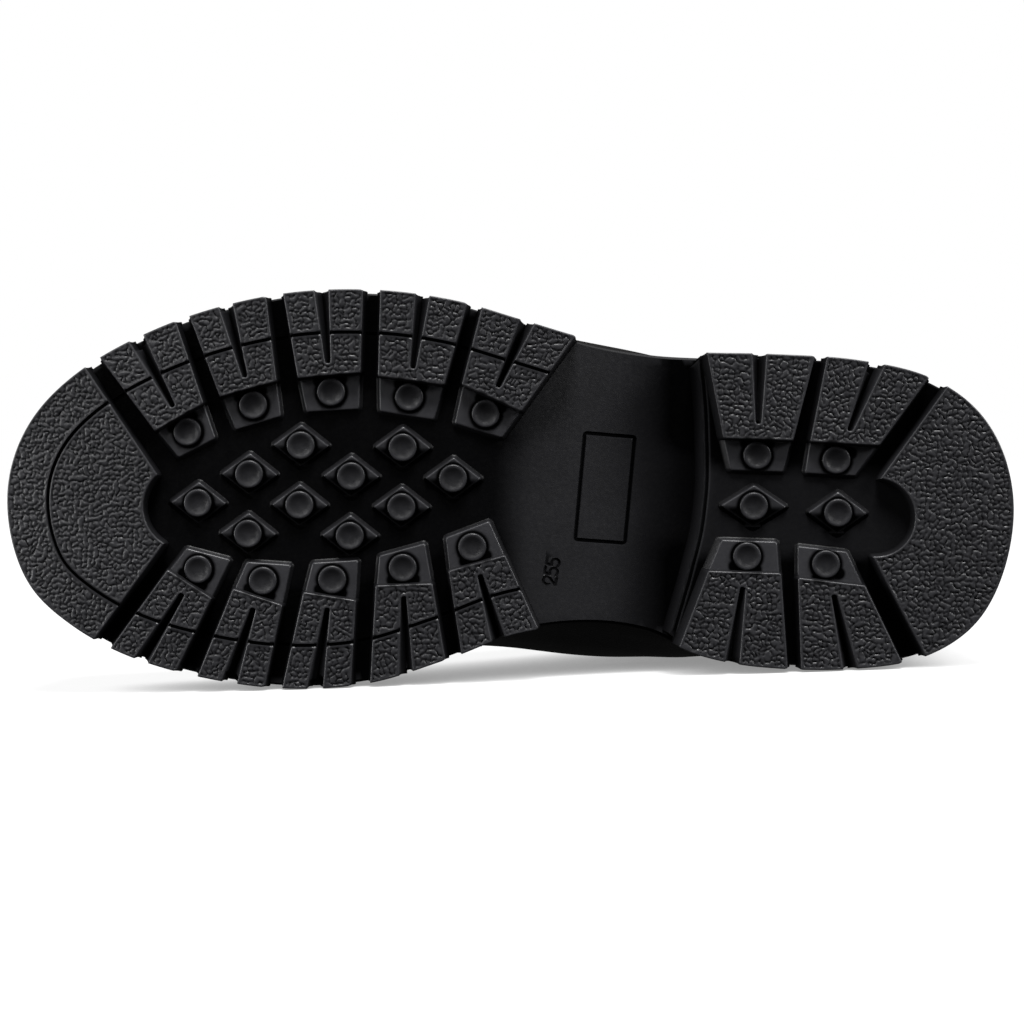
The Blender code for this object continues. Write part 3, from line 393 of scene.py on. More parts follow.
    def trough(self, points: Array) -> Array:
        """Depth of the creases at points of the form, with a low ridge on both sides of each.

        Args:
            points: Points of the form.

        Returns:
            The depths, in the points' shape.
        """
        depth = np.zeros(points.shape[:-1])
        x, y, z = np.moveaxis(points, -1, 0)
        for row in self.creases:
            fade = ease(1.4 - 1.4 * np.abs(y) / row.reach) * ease((z - 30.0) / 16.0)
            centre = row.x - row.sweep * y ** 2 + 1.2 * np.sin(y * 0.11 + row.x)
            away = (x - centre) / row.width
            beside = np.exp(-(np.abs(away) - 1.9) ** 2)
            depth += row.depth * fade * (np.exp(-away ** 2) - self.crease_ridge * beside)
        return depth

    def surface(self, level: Array, angle: Array, lift: Array = 0.0) -> Array:
        """Points at a distance outside the creased form."""
        points = self.bare(level, angle)
        return points + self.normal(level, angle) * (lift - self.trough(points))[..., None]

    def low_edge(self, angle: Array, offset: float, lift: float = 0.0) -> Array:
        """Points round the feather edge, moved outwards in plan and lifted."""
        flat = (self.bare(0.0, angle) + self.normal(0.0, angle) * offset)[..., :2]
        return np.concatenate([flat, self.feather(flat[..., :1]) + lift], axis=-1)

    def angle_at(self, level: Array, x: Array) -> Array:
        """Angle on the outer side where a loop reaches station x."""
        row = self.section(level)
        return np.arccos(np.clip(1 - 2 * (x - row.back_x) / (row.front_x - row.back_x), -1, 1))

    def front_angle(self, level: Array, y: Array) -> Array:
        """Angle near a loop's front at the distance y from its centre line.

        Args:
            level: Levels.
            y: Distances, positive on the outer side.

        Returns:
            The angles.
        """
        level, y = np.broadcast_arrays(np.asarray(level, float), np.asarray(y, float))
        low, high = np.full(level.shape, pi / 2), np.full(level.shape, pi)
        lean = self.section(level).lean
        for _ in range(34):
            mid = (low + high) / 2
            found = self.bare(level, mid)
            beyond = np.abs(found[..., 1] - lean * OUTLINE.middle(found[..., 0])) > np.abs(y)
            low, high = np.where(beyond, mid, low), np.where(beyond, high, mid)
        return np.where(y >= 0, low, 2 * pi - low)

    def throat_width(self, level: Array) -> Array:
        """Half-width between the throat's straight sides."""
        share = (np.asarray(level, float) - self.throat_level) / (self.collar[0] - self.throat_level)
        return between(self.throat_halves, share)

    def throat_half(self, level: Array) -> Array:
        """Half-width of the throat's opening, which is round at its lower end."""
        return self.throat_width(level) * quarter(
            (level - self.throat_level) / (self.throat_full - self.throat_level))

    def ridge_level(self, distance: Array) -> Array:
        """Level on the front ridge at a distance up from the throat's lower end.

        Args:
            distance: Distances.

        Returns:
            The levels.
        """
        levels = np.linspace(4.6, self.collar[1] + 1, 300)
        along = lengths(self.bare(levels, pi))
        return np.interp(distance, along - np.interp(self.throat_level, levels, along), levels)

    def chart(self, distance: Array, y: Array) -> tuple[Array, Array]:
        """Level and angle of places given by distance up the ridge and y across it."""
        level = self.ridge_level(distance)
        return level, self.front_angle(level, y)


FORM = Form()


class Stand:
    """The boot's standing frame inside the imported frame, found from the record's mounts."""

    HEEL = np.array([14.0, -3.0, 0.0])
    FORE = np.array([178.0, 45.0, 0.0])

    def __init__(self, record: dict) -> None:
        """Work out the axes.

        Args:
            record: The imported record, whose tread mounts lie at HEEL and FORE.
        """
        mounts = {mount["name"]: mount for mount in record["mounts"]}
        heel, fore = (np.array(mounts[name]["pos_m"]) for name in ("heel_tread", "forefoot_tread"))
        self.up = -unit(np.array(mounts["heel_tread"]["axis"]))
        run = unit((fore - heel) - self.up * ((fore - heel) @ self.up))
        flat = unit(self.FORE - self.HEEL)
        side = np.cross(self.up, run)
        self.x = run * flat[0] - side * flat[1]
        self.y = run * flat[1] + side * flat[0]
        self.origin = heel - (self.x * self.HEEL[0] + self.y * self.HEEL[1]) * MM

    def place(self, points: Array) -> Array:
        """Points of the standing boot, in millimetres, as metres in the frame."""
        return self.origin + self.turn(np.asarray(points, float) * MM)

    def turn(self, vectors: Array) -> Array:
        """Directions of the standing boot, in the frame."""
        return vectors[..., :1] * self.x + vectors[..., 1:2] * self.y + vectors[..., 2:] * self.up


STAND = Stand(frame["record"])


# Meshes --------------------------------------
def link(name: str, data: bpy.types.ID) -> Object:
    """A new object in the scene, at the origin.

    Args:
        name: Its name.
        data: Its mesh, light or camera.

    Returns:
        The object.
    """
    made = bpy.data.objects.new(name, data)
    bpy.context.scene.collection.objects.link(made)
    return made


@dataclass
class Skin:
    """A mesh being built from several shells, in standing millimetres.

    Each point carries a number, which materials read as painted light: 0 for painted shade, 1 for a lit crest
    with a painted highlight.
    track is a place on the surface in millimetres, for a weave.
    """

    points: list = field(default_factory=list)
    faces: list = field(default_factory=list)
    kinds: list = field(default_factory=list)
    relief: list = field(default_factory=list)
    track: list = field(default_factory=list)
    count: int = 0

    def add(self, points: Array, relief: Array | float = 1.0, track: Array | None = None) -> int:
        """Add points and get the index of the first one.

        Args:
            points: The points.
            relief: One value for each, or one for all.
            track: A place for each.

        Returns:
            The index.
        """
        points = np.asarray(points, float).reshape(-1, 3)
        first = self.count
        self.points.append(points)
        self.relief.append(np.broadcast_to(np.asarray(relief, float).ravel(), len(points)))
        self.track.append(np.zeros_like(points) if track is None else np.asarray(track, float).reshape(-1, 3))
        self.count += len(points)
        return first

    def face(self, faces: Sequence, first: int = 0, kind: int = 0) -> None:
        """Add faces whose indices start at first."""
        self.faces += (np.asarray(faces, int) + first).tolist()
        self.kinds += [kind] * len(faces)

    def grid(self, points: Array, wrap: tuple[bool, bool] = (False, False), relief: Array | float = 1.0,
             track: Array | None = None, kind: int = 0) -> int:
        """Add a grid of quads.

        Args:
            points: Rows and columns of points.
            wrap: Whether the rows and the columns run round.
            relief: One value for each point, or one for all.
            track: A place for each point.
            kind: Material index.

        Returns:
            The index of the first point.
        """
        rows, cols = points.shape[:2]
        first = self.add(points, relief, track)
        i = np.arange(rows if wrap[0] else rows - 1)[:, None]
        k = np.arange(cols if wrap[1] else cols - 1)[None, :]
        a, b = i * cols + k, i * cols + (k + 1) % cols
        c, d = (i + 1) % rows * cols + (k + 1) % cols, (i + 1) % rows * cols + k
        self.face(np.stack([a, b, c, d], axis=-1).reshape(-1, 4), first, kind)
        return first

    def lid(self, first: int, count: int) -> None:
        """Close a ring of points by one face."""
        self.face([list(range(count))], first)

    def lids(self, first: int, rows: int, count: int) -> None:
        """Close the first and the last of the rings that start at first."""
        for row in (0, rows - 1):
            self.lid(first + row * count, count)

    def wall(self, rows: Sequence[Array], relief: Array | float = 1.0, kind: int = 0) -> None:
        """Add a wall from rows of points round an outline, and a foot under its last row.

        Args:
            rows: Rows of points, from the top down.
            relief: As for grid.
            kind: Material index.
        """
        count = len(rows[0])
        first = self.grid(np.array(rows), (False, True), relief=relief, kind=kind)
        flat, faces = fill(rows[-1][:, :2])
        faces = faces if len(flat) == count else [list(range(count))]
        self.face(faces, first + (len(rows) - 1) * count, kind)

    def build(self, name: str, finishes: Sequence[Material] = (), weld: float = 0.004,
              sharp: float | None = None, place: Callable = STAND.place) -> Object:
        """Make the object, welded, with its faces turned outwards.

        Args:
            name: Name of the piece.
            finishes: Its materials, by the faces' kinds.
            weld: Points closer than this become one.
            sharp: Angle over which edges stay sharp, or None for smooth all over.
            place: Turns the points into metres.

        Returns:
            The object, at the origin of the frame.
        """
        mesh = bpy.data.meshes.new(name)
        mesh.from_pydata(place(np.concatenate(self.points)), [], self.faces)
        mesh.polygons.foreach_set("material_index", np.array(self.kinds, np.int32))
        relief = mesh.attributes.new("relief", "FLOAT", "POINT")
        relief.data.foreach_set("value", np.concatenate(self.relief).astype(np.float32))
        track = mesh.attributes.new("track", "FLOAT_VECTOR", "POINT")
        track.data.foreach_set("vector", (np.concatenate(self.track) * MM).astype(np.float32).ravel())
        shape = bmesh.new()
        shape.from_mesh(mesh)
        bmesh.ops.remove_doubles(shape, verts=shape.verts, dist=weld * MM)
        bmesh.ops.recalc_face_normals(shape, faces=shape.faces)
        shape.to_mesh(mesh)
        shape.free()
        for finish in finishes:
            mesh.materials.append(finish)
        mesh.shade_smooth()
        if sharp is not None:
            mesh.set_sharp_from_angle(angle=sharp)
        return link(name, mesh)


def dress(piece: Object, slot: str, *nodes: str) -> Object:
    """Fix a finished piece to the boot's body and log it.

    Args:
        piece: The object.
        slot: The record's material slot; not used.
        nodes: CAD nodes that it stands for.

    Returns:
        The piece.
    """
    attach(piece, "root")
    if nodes:
        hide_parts(*nodes)
    log.info("%s: %d faces", piece.name, len(piece.data.polygons))
    return piece


def tube(skin: Skin, centres: Array, outs: Array, section: Array) -> None:
    """Sweep a flat section along a path, with a lid on both ends.

    Args:
        skin: Mesh that takes it.
        centres: Points of the path.
        outs: Direction of the section's second axis at each point.
        section: Points of the section, turned left, as across and outwards.
    """
    ahead = np.roll(centres, -1, axis=0) - np.roll(centres, 1, axis=0)
    ahead[0], ahead[-1] = centres[1] - centres[0], centres[-1] - centres[-2]
    ahead = unit(ahead)
    outs = unit(outs - ahead * np.sum(outs * ahead, axis=1, keepdims=True))
    across = np.cross(outs, ahead)
    loops = centres[:, None] + (across[:, None] * section[:, :1] + outs[:, None] * section[:, 1:])
    ring = np.arange(len(section))
    around = ring / len(section) * TRACK_ROUND
    track = np.stack(np.broadcast_arrays(lengths(centres)[:, None], around, 0.0), axis=-1)
    first = skin.grid(loops, (False, True), track=track)
    for start, loop in ((first, loops[0]), (first + len(ring) * (len(loops) - 1), loops[-1])):
        middle = np.full(len(ring), skin.add(loop.mean(axis=0)))
        skin.face(np.stack([start + ring, start + np.roll(ring, -1), middle], axis=1))


def squarish(angles: Array, power: float) -> Array:
    """Points round a circle, or round a squarer form for a power under 1."""
    wave = np.stack([np.cos(angles), np.sin(angles)], axis=1)
    return np.sign(wave) * np.abs(wave) ** power


def oval(half_across: float, half_out: float, sides: int, power: float = 1.0) -> Array:
    """Section of a tube: an oval, squarer for a power under 1."""
    return squarish(turns(sides) + pi / sides, power) * [half_across, half_out]


# Node trees ----------------------------------
class Nodes:
    """A node tree, built by short calls."""

    def __init__(self, tree: bpy.types.NodeTree) -> None:
        """Take the tree."""
        self.tree = tree

    def feed(self, socket: Socket, value: object) -> None:
        """Link an input to another node's socket, or set it to a value.

        Args:
            socket: The input.
            value: A socket, a value, or None to leave it.
        """
        if isinstance(value, Socket):
            self.tree.links.new(value, socket)
        elif value is not None:
            socket.default_value = value

    def add(self, kind: str, *values: object, **settings: object) -> bpy.types.Node:
        """Add a node.

        Args:
            kind: Type of the node.
            values: Sockets or numbers for its inputs, in order; None leaves one alone.
            settings: Properties of the node, or inputs by name with _ for a space.

        Returns:
            The node.
        """
        made = self.tree.nodes.new(kind)
        for key, value in settings.items():
            if hasattr(made, key):
                setattr(made, key, value)
        for socket, value in zip(made.inputs, values):
            self.feed(socket, value)
        for key, value in settings.items():
            if not hasattr(made, key):
                self.feed(made.inputs[key.replace("_", " ")], value)
        return made

    def math(self, operation: str, *values: object) -> Socket:
        """A Math node's result."""
        return self.add("ShaderNodeMath", *values, operation=operation).outputs[0]


# Copies --------------------------------------
class Rows(Enum):
    """How copies are set out: at each point of a mesh, or an even pitch along its edges."""

    SEATS = "seats"
    PATH = "path"


class Copier(Nodes):
    """A Geometry Nodes tree that sets copies of one shape on seats or along paths."""

    INPUTS = {"Shape": "Object", "Finish": "Material", "Pitch": "Float", "Size": "Float",
              "Uneven": "Float", "Seed": "Int"}

    def __init__(self, rows: Rows) -> None:
        """Build the tree.

        Args:
            rows: How the copies are set out.
        """
        super().__init__(bpy.data.node_groups.new("copies_" + rows.value, "GeometryNodeTree"))
        face = self.tree.interface
        for way in ("INPUT", "OUTPUT"):
            face.new_socket("Geometry", in_out=way, socket_type="NodeSocketGeometry")
        self.sockets = {name: face.new_socket(name, in_out="INPUT", socket_type="NodeSocket" + kind)
                        for name, kind in self.INPUTS.items()}
        entry = self.add("NodeGroupInput").outputs
        seats, along = entry["Geometry"], self.named("along")
        if rows is Rows.PATH:
            curve = self.add("GeometryNodeMeshToCurve", seats).outputs[0]
            seats = self.add("GeometryNodeResampleCurve", mode="LENGTH", Curve=curve,
                             Length=entry["Pitch"]).outputs[0]
            along = self.add("GeometryNodeInputTangent").outputs[0]
        aim = self.add("FunctionNodeAxesToRotation", self.named("out"), along,
                       primary_axis="Z", secondary_axis="X")
        shape = self.add("GeometryNodeObjectInfo", entry["Shape"])
        chance = self.add("FunctionNodeRandomValue", Seed=entry["Seed"])
        low, share = (next(socket for socket in side if socket.type == "VALUE")
                      for side in (chance.inputs, chance.outputs))
        self.feed(low, self.math("SUBTRACT", 1.0, entry["Uneven"]))
        copies = self.add("GeometryNodeInstanceOnPoints", Points=seats, Rotation=aim.outputs[0],
                          Instance=shape.outputs["Geometry"],
                          Scale=self.math("MULTIPLY", share, entry["Size"]))
        real = self.add("GeometryNodeRealizeInstances", copies.outputs[0])
        paint = self.add("GeometryNodeSetMaterial", real.outputs[0], Material=entry["Finish"])
        self.add("NodeGroupOutput", paint.outputs[0])

    def named(self, name: str) -> Socket:
        """A vector attribute of the seats."""
        return self.add("GeometryNodeInputNamedAttribute", data_type="FLOAT_VECTOR", Name=name).outputs[0]

    def make(self, name: str, seats: "Seats", shape: Object, finish: Material,
             **sizes: float) -> Object:
        """Set copies of a shape on seats and turn the result into a plain mesh.

        Args:
            name: Name of the piece.
            seats: Where the copies go.
            shape: What is copied; it is removed afterwards.
            finish: Material of the copies.
            sizes: Values of the tree's named inputs.

        Returns:
            The piece.
        """
        holder = seats.build(name + "_seats")
        step = holder.modifiers.new("copies", "NODES")
        step.node_group = self.tree
        values = {"Shape": shape, "Finish": finish, "Pitch": 0.003, "Size": 1.0, "Uneven": 0.0, "Seed": 7}
        for key, value in (values | sizes).items():
            step[self.sockets[key].identifier] = value
        bpy.context.view_layer.update()
        found = holder.evaluated_get(bpy.context.evaluated_depsgraph_get())
        mesh = bpy.data.meshes.new_from_object(found)
        mesh.name = name
        mesh.shade_smooth()
        made = link(name, mesh)
        holder.modifiers.remove(step)
        bpy.data.objects.remove(holder)
        bpy.data.objects.remove(shape)
        return made


@dataclass
class Seats:
    """Points or paths, each point with its directions outwards and along, in standing millimetres."""

    rows: list = field(default_factory=list)
    edges: list = field(default_factory=list)

    def seat(self, point: Array, out: Array, along: Array) -> None:
        """Add one seat."""
        self.rows.append((point, out, along))

    def path(self, points: Array, outs: Array) -> None:
        """Add a path."""
        self.edges += [(k, k + 1) for k in range(len(self.rows), len(self.rows) + len(points) - 1)]
        self.rows += zip(points, outs, np.gradient(points, axis=0))

    def build(self, name: str) -> Object:
        """A mesh object of the seats, with their directions as attributes.

        Args:
            name: Its name.

        Returns:
            The object.
        """
        points, outs, alongs = (np.array(column) for column in zip(*self.rows))
        mesh = bpy.data.meshes.new(name)
        mesh.from_pydata(STAND.place(points), self.edges, [])
        for key, vectors in (("out", outs), ("along", alongs)):
            held = mesh.attributes.new(key, "FLOAT_VECTOR", "POINT")
            held.data.foreach_set("vector", STAND.turn(unit(vectors)).astype(np.float32).ravel())
        return link(name, mesh)


def loose(name: str, skin: Skin) -> Object:
    """A shape for copying, kept in its own axes."""
    return skin.build(name, place=lambda points: points * MM)


def lathe(name: str, profile: Array, sides: int, relief: float | Sequence[float] = 1.0) -> Object:
    """A turned shape about Z for copying, in metres.

    Args:
        name: Name of the object.
        profile: Radius and height from the bottom rim up to the middle, or a closed ring of them.
        sides: Points round it.
        relief: Painted light at each point of the profile, 0 for painted shade to 1 for a painted highlight,
            for its finish.

    Returns:
        The object.
    """
    angles = turns(sides)
    radius, height = profile.T[:, :, None]
    rings = np.stack(np.broadcast_arrays(radius * np.cos(angles), radius * np.sin(angles), height), axis=-1)
    skin = Skin()
    skin.grid(rings, (False, True), relief=np.broadcast_to(np.atleast_1d(relief)[:, None], rings.shape[:2]))
    if np.any(profile[0] != profile[-1]):
        skin.lids(0, len(profile), sides)
    return loose(name, skin)


def thread(name: str, length: float, radius: float, sink: float) -> Object:
    """One stitch for copying: a short thread along X whose ends dive into the leather.

    Args:
        name: Name of the object.
        length: Length of the stitch that shows.
        radius: Radius of the thread.
        sink: How deep its ends lie.

    Returns:
        The object, in metres.
    """
    stations, sides = 7, 6
    t = np.linspace(-1, 1, stations)[:, None]
    angles = turns(sides)
    fat = radius * np.where(np.abs(t) < 0.9, 1.0, 0.75)
    rise = radius * 0.55 - (sink + radius) * np.abs(t) ** 3
    rings = np.broadcast_arrays(t * length / 2, fat * np.cos(angles), rise + fat * np.sin(angles))
    skin = Skin()
    skin.grid(np.stack(rings, axis=-1), (False, True))
    skin.lids(0, stations, sides)
    return loose(name, skin)


# Finishes ------------------------------------
class Paint(Nodes):
    """A material's node tree."""

    def __init__(self, name: str) -> None:
        """Start a Principled material.

        Args:
            name: Name of the material.
        """
        self.material = bpy.data.materials.new(name)
        self.material.use_nodes = True
        super().__init__(self.material.node_tree)
        self.shader = self.tree.nodes["Principled BSDF"]
        self.place = self.add("ShaderNodeTexCoord").outputs["Object"]

    def noise(self, scale: float, detail: float = 3.0, rough: float = 0.55) -> Socket:
        """Noise on the object's own coordinates; scale is cells for each metre."""
        return self.add("ShaderNodeTexNoise", Vector=self.place, Scale=scale, Detail=detail,
                        Roughness=rough).outputs[0]

    def ramp(self, value: Socket, low: float, high: float,
             to: tuple = (0.0, 1.0)) -> Socket:
        """Value read from low..high onto another range."""
        return self.add("ShaderNodeMapRange", value, low, high, *to).outputs[0]

    def blend(self, share: Socket, *colours: tuple) -> Socket:
        """Mix of two colours.

        Args:
            share: Share of the second colour.
            colours: The two colours.

        Returns:
            The mixed colour.
        """
        made = self.add("ShaderNodeMix", data_type="RGBA")
        sockets = [socket for socket in made.inputs if socket.enabled]
        for socket, value in zip(sockets, (share, *((*colour, 1.0) for colour in colours))):
            self.feed(socket, value)
        return next(socket for socket in made.outputs if socket.enabled)

    def shades(self, share: Socket, colour: tuple, low: float, high: float) -> Socket:
        """Mix of a darker and a paler shade of one colour."""
        return self.blend(share, *(tuple(part * shade for part in colour) for shade in (low, high)))

    def attribute(self, name: str) -> bpy.types.Node:
        """A mesh attribute's node."""
        return self.add("ShaderNodeAttribute", attribute_name=name)

    def bump(self, *layers: tuple) -> None:
        """Bump from layers of (height, depth in millimetres).

        Args:
            layers: The layers, lowest first.
        """
        below = None
        for height, depth in layers:
            step = self.add("ShaderNodeBump", Height=height, Distance=depth * MM, Strength=1.0, Normal=below)
            below = step.outputs[0]
        self.feed(self.shader.inputs["Normal"], below)

    def set(self, **values: object) -> Material:
        """Set or link the shader's own sockets, and return the material.

        Args:
            values: Sockets or values by name, with _ for a space.

        Returns:
            The material.
        """
        for key, value in values.items():
            self.feed(self.shader.inputs[key.replace("_", " ")], value)
        return self.material


@dataclass(frozen=True)
class Rubber:
    """Matt moulded rubber with painted light: painted shade in its hollows, a painted highlight on its
    crests.
    """

    name: str
    # hollow is the colour of the painted shade, crest the lit colour that carries the painted highlight.
    hollow: tuple = (0.0006, 0.0006, 0.0007)
    crest: tuple = (0.0345, 0.0345, 0.0382)
    roughness: float = 0.35
    gloss: tuple = (0.04, 0.49)
    clouds: float = 38.0

    def build(self) -> Material:
        """Make the material.

        Returns:
            The material.
        """
        paint = Paint(self.name)
        relief = paint.attribute("relief").outputs["Fac"]
        cloud = paint.ramp(paint.noise(self.clouds, 4.0, 0.6), 0.3, 0.7, (0.8, 1.0))
        # Colour runs from painted shade to painted highlight by each point's painted light, mottled at random
        # by the clouds.
        share = paint.math("MULTIPLY", paint.ramp(relief, 0.1, 1.16), cloud)
        paint.bump((paint.noise(700.0, 2.0), 0.05), (paint.noise(2600.0, 3.0, 0.6), 0.035))
        rough = paint.ramp(paint.noise(900.0), 0.3, 0.7, (self.roughness - 0.06, self.roughness + 0.08))
        return paint.set(Base_Color=paint.blend(share, self.hollow, self.crest), Roughness=rough,
                         Specular_IOR_Level=paint.ramp(share, 0.0, 1.0, self.gloss))


@dataclass(frozen=True)
class Leather:
    """Finished cow leather: fine pores in a soft cell grain."""

    name: str
    colour: tuple = (0.0125, 0.012, 0.012)
    depth: float = 0.09
    roughness: float = 0.4
    coat: float = 0.18
    grain: float = 900.0
    warp: float = 0.9
    folds: float = 60.0

    def build(self) -> Material:
        """Make the material.

        Returns:
            The material.
        """
        paint = Paint(self.name)
        drift = paint.add("ShaderNodeTexNoise", Vector=paint.place, Scale=self.grain * 0.5).outputs[1]
        shift = paint.add("ShaderNodeVectorMath", drift, operation="SCALE", Scale=self.warp / self.grain)
        at = paint.add("ShaderNodeVectorMath", paint.place, shift.outputs[0], operation="ADD")
        cells = paint.add("ShaderNodeTexVoronoi", Vector=at.outputs[0], Scale=self.grain,
                          feature="DISTANCE_TO_EDGE")
        height = paint.ramp(cells.outputs["Distance"], 0.0, 0.22)
        pores = paint.ramp(paint.noise(self.grain * 2.6, 2.0), 0.35, 0.6)
        wide = paint.noise(self.folds, 4.0, 0.6)
        paint.bump((wide, 0.16), (height, self.depth), (pores, self.depth * 0.35))
        share = paint.math("MULTIPLY", height, paint.ramp(wide, 0.25, 0.75))
        rough = paint.ramp(paint.math("ADD", wide, paint.math("MULTIPLY", height, -0.12)), 0.2, 0.8,
                           (self.roughness - 0.08, self.roughness + 0.12))
        return paint.set(Base_Color=paint.shades(share, self.colour, 0.62, 1.35), Roughness=rough,
                         Specular_IOR_Level=0.45, Coat_Weight=self.coat, Coat_Roughness=0.3)


@dataclass(frozen=True)
class Weave:
    """Woven or braided yarn; it follows the piece's own track attribute, or its coordinates."""

    name: str
    colour: tuple
    pitch: tuple
    depth: float
    slant: bool = False
    follow: bool = True
    fuzz: float = 4200.0

    def build(self) -> Material:
        """Make the material.

        Returns:
            The material.
        """
        paint = Paint(self.name)
        at = paint.attribute("track").outputs["Vector"] if self.follow else paint.place
        places = paint.add("ShaderNodeSeparateXYZ", at).outputs
        u, v = (paint.math("MULTIPLY", place, 2 * pi / (pitch * MM))
                for place, pitch in zip(places, self.pitch))
        if self.slant:
            u, v = paint.math("ADD", u, v), paint.math("SUBTRACT", u, v)
        first, second = paint.math("SINE", u), paint.math("SINE", v)
        over = paint.math("GREATER_THAN", paint.math("MULTIPLY", first, second), 0.0)
        sides = ((first, over), (second, paint.math("SUBTRACT", 1.0, over)))
        ribs = paint.math("ADD", *(paint.math("MULTIPLY", paint.math("ABSOLUTE", wave), share)
                                   for wave, share in sides))
        fuzz = paint.noise(self.fuzz, 3.0, 0.7)
        paint.bump((ribs, self.depth), (fuzz, 0.06))
        share = paint.math("MULTIPLY", ribs, paint.ramp(fuzz, 0.2, 0.8, (0.6, 1.0)))
        return paint.set(Base_Color=paint.shades(share, self.colour, 0.35, 1.5), Roughness=0.85,
                         Specular_IOR_Level=0.3, Sheen_Weight=0.15, Sheen_Roughness=0.5)


@dataclass(frozen=True)
class Metal:
    """Black lacquered metal, rubbed a little on its edges."""

    name: str
    lacquer: tuple = (0.03, 0.03, 0.032)
    bare: tuple = (0.1, 0.1, 0.105)

    def build(self) -> Material:
        """Make the material.

        Returns:
            The material.
        """
        paint = Paint(self.name)
        worn = paint.ramp(paint.noise(900.0, 4.0, 0.7), 0.45, 0.7)
        paint.bump((paint.noise(1800.0), 0.02))
        return paint.set(Base_Color=paint.blend(worn, self.lacquer, self.bare), Metallic=0.85,
                         Roughness=paint.ramp(worn, 0.0, 1.0, (0.32, 0.22)))


@dataclass(frozen=True)
class Yarn:
    """Sewing thread."""

    name: str
    colour: tuple = (0.03, 0.03, 0.031)
    twist: float = 5200.0

    def build(self) -> Material:
        """Make the material.

        Returns:
            The material.
        """
        paint = Paint(self.name)
        twist = paint.noise(self.twist, 2.0)
        paint.bump((twist, 0.05))
        return paint.set(Base_Color=paint.shades(twist, self.colour, 0.5, 1.5), Roughness=0.6)


class Palette:
    """Every finish of the boot, made once."""

    def __init__(self) -> None:
        """Build the materials."""
        self.tread = Rubber("tread_rubber").build()
        self.side = Rubber("sole_side_rubber", (0.010, 0.010, 0.011), (0.017, 0.017, 0.018), 0.5).build()
        self.leather = Leather("black_leather").build()
        self.soft = Leather("soft_black_leather", (0.014, 0.0135, 0.0135), 0.085, 0.48, 0.1).build()
        self.lining = Weave("lining_mesh", (0.03, 0.03, 0.032), (1.6, 1.6), 0.2, True, False).build()
        self.footbed = Weave("footbed_cloth", (0.045, 0.045, 0.048), (1.1, 1.1), 0.12, follow=False).build()
        self.lace = Weave("lace_braid", (0.02, 0.02, 0.021), (2.2, 2.0), 0.25, slant=True).build()
        self.webbing = Weave("loop_webbing", (0.02, 0.02, 0.021), (1.0, 1.5), 0.25).build()
        self.metal = Metal("eyelet_lacquer").build()
        self.yarn = Yarn("black_thread").build()


# Tread ---------------------------------------
def pebble(points: Array, cell: float, seed: int) -> Array:
    """Height, 0 to 1, of the moulded pebble grain: rounded lumps, some run together.

    Args:
        points: Flat points in millimetres.
        cell: Mean size of a lump.
        seed: Which pattern.

    Returns:
        The height at each point.
    """
    def chance(i: Array, k: Array, salt: int) -> Array:
        wave = np.sin(i * 127.1 + k * 311.7 + (salt + seed) * 74.7) * 43758.5453
        return wave - np.floor(wave)

    x, y = points.T / cell
    wander = [np.sin(2.3 * y + 1.7 * np.sin(1.1 * x)), np.sin(2.1 * x + 1.9 * np.sin(1.3 * y))]
    points = points + 0.16 * cell * np.stack(wander, axis=1)
    base = np.floor(points / cell)
    found = []
    for step in np.ndindex(3, 3):
        i, k = (base + step - 1).T
        seat = np.stack([i + 0.12 + 0.76 * chance(i, k, 1), k + 0.12 + 0.76 * chance(i, k, 2)], axis=1)
        found.append(np.stack([np.linalg.norm(points - seat * cell, axis=1), i, k], axis=1))
    found = np.stack(found)
    order = np.argsort(found[:, :, 0], axis=0)[:3]
    near = np.take_along_axis(found, order[:, :, None], axis=0)
    (d1, i1, k1), (d2, i2, k2), (d3, *_) = (row.T for row in near)
    pair = chance(np.minimum(i1, i2) + 2 * np.maximum(i1, i2), np.minimum(k1, k2) + 2 * np.maximum(k1, k2), 3)
    return quarter(np.where(pair < 0.3, d3 - d1, d2 - d1) / cell / 0.85)


def inside(points: Array, outline: Array) -> Array:
    """Which flat points lie inside a closed outline.

    Args:
        points: Flat points.
        outline: Corners of the outline.

    Returns:
        True for each point that does.
    """
    found = np.zeros(len(points), bool)
    for (x0, y0), (x1, y1) in zip(outline, np.roll(outline, -1, axis=0)):
        if y0 != y1:
            crosses = (y0 > points[:, 1]) != (y1 > points[:, 1])
            found ^= crosses & (points[:, 0] < (x1 - x0) * (points[:, 1] - y0) / (y1 - y0) + x0)
    return found


def distance(points: Array, path: Array) -> Array:
    """Distance of flat points from a path, worked out near each of its segments.

    Args:
        points: The points.
        path: Points of the path.

    Returns:
        The distances.
    """
    best = np.full(len(points), 1e9)
    for a, b in zip(path, path[1:]):
        run = b - a
        t = np.clip((points - a) @ run / max(run @ run, 1e-12), 0.0, 1.0)
        away = points - a - t[:, None] * run
        best = np.minimum(best, away[:, 0] ** 2 + away[:, 1] ** 2)
    return np.sqrt(best)


def rounded(corners: Sequence, radius: float) -> Array:
    """A closed outline with its corners rounded off.

    Args:
        corners: Its corners.
        radius: How far from a corner the bend starts.

    Returns:
        The points.
    """
    corners = np.asarray(corners, float)
    made = []
    for i, corner in enumerate(corners):
        to_last, to_next = corners[i - 1] - corner, corners[(i + 1) % len(corners)] - corner
        reach = min(radius, 0.45 * np.linalg.norm(to_last), 0.45 * np.linalg.norm(to_next))
        start, stop = corner + unit(to_last) * reach, corner + unit(to_next) * reach
        for t in np.linspace(0, 1, 5):
            made.append((1 - t) ** 2 * start + 2 * t * (1 - t) * corner + t * t * stop)
    return np.array(made)


def left_of(outline: Array) -> Array:
    """Unit vectors into a closed outline that runs to the left, at each of its points."""
    ahead = unit(np.roll(outline, -1, axis=0) - outline)
    return turn_left(unit(ahead + np.roll(ahead, 1, axis=0) + 1e-9))


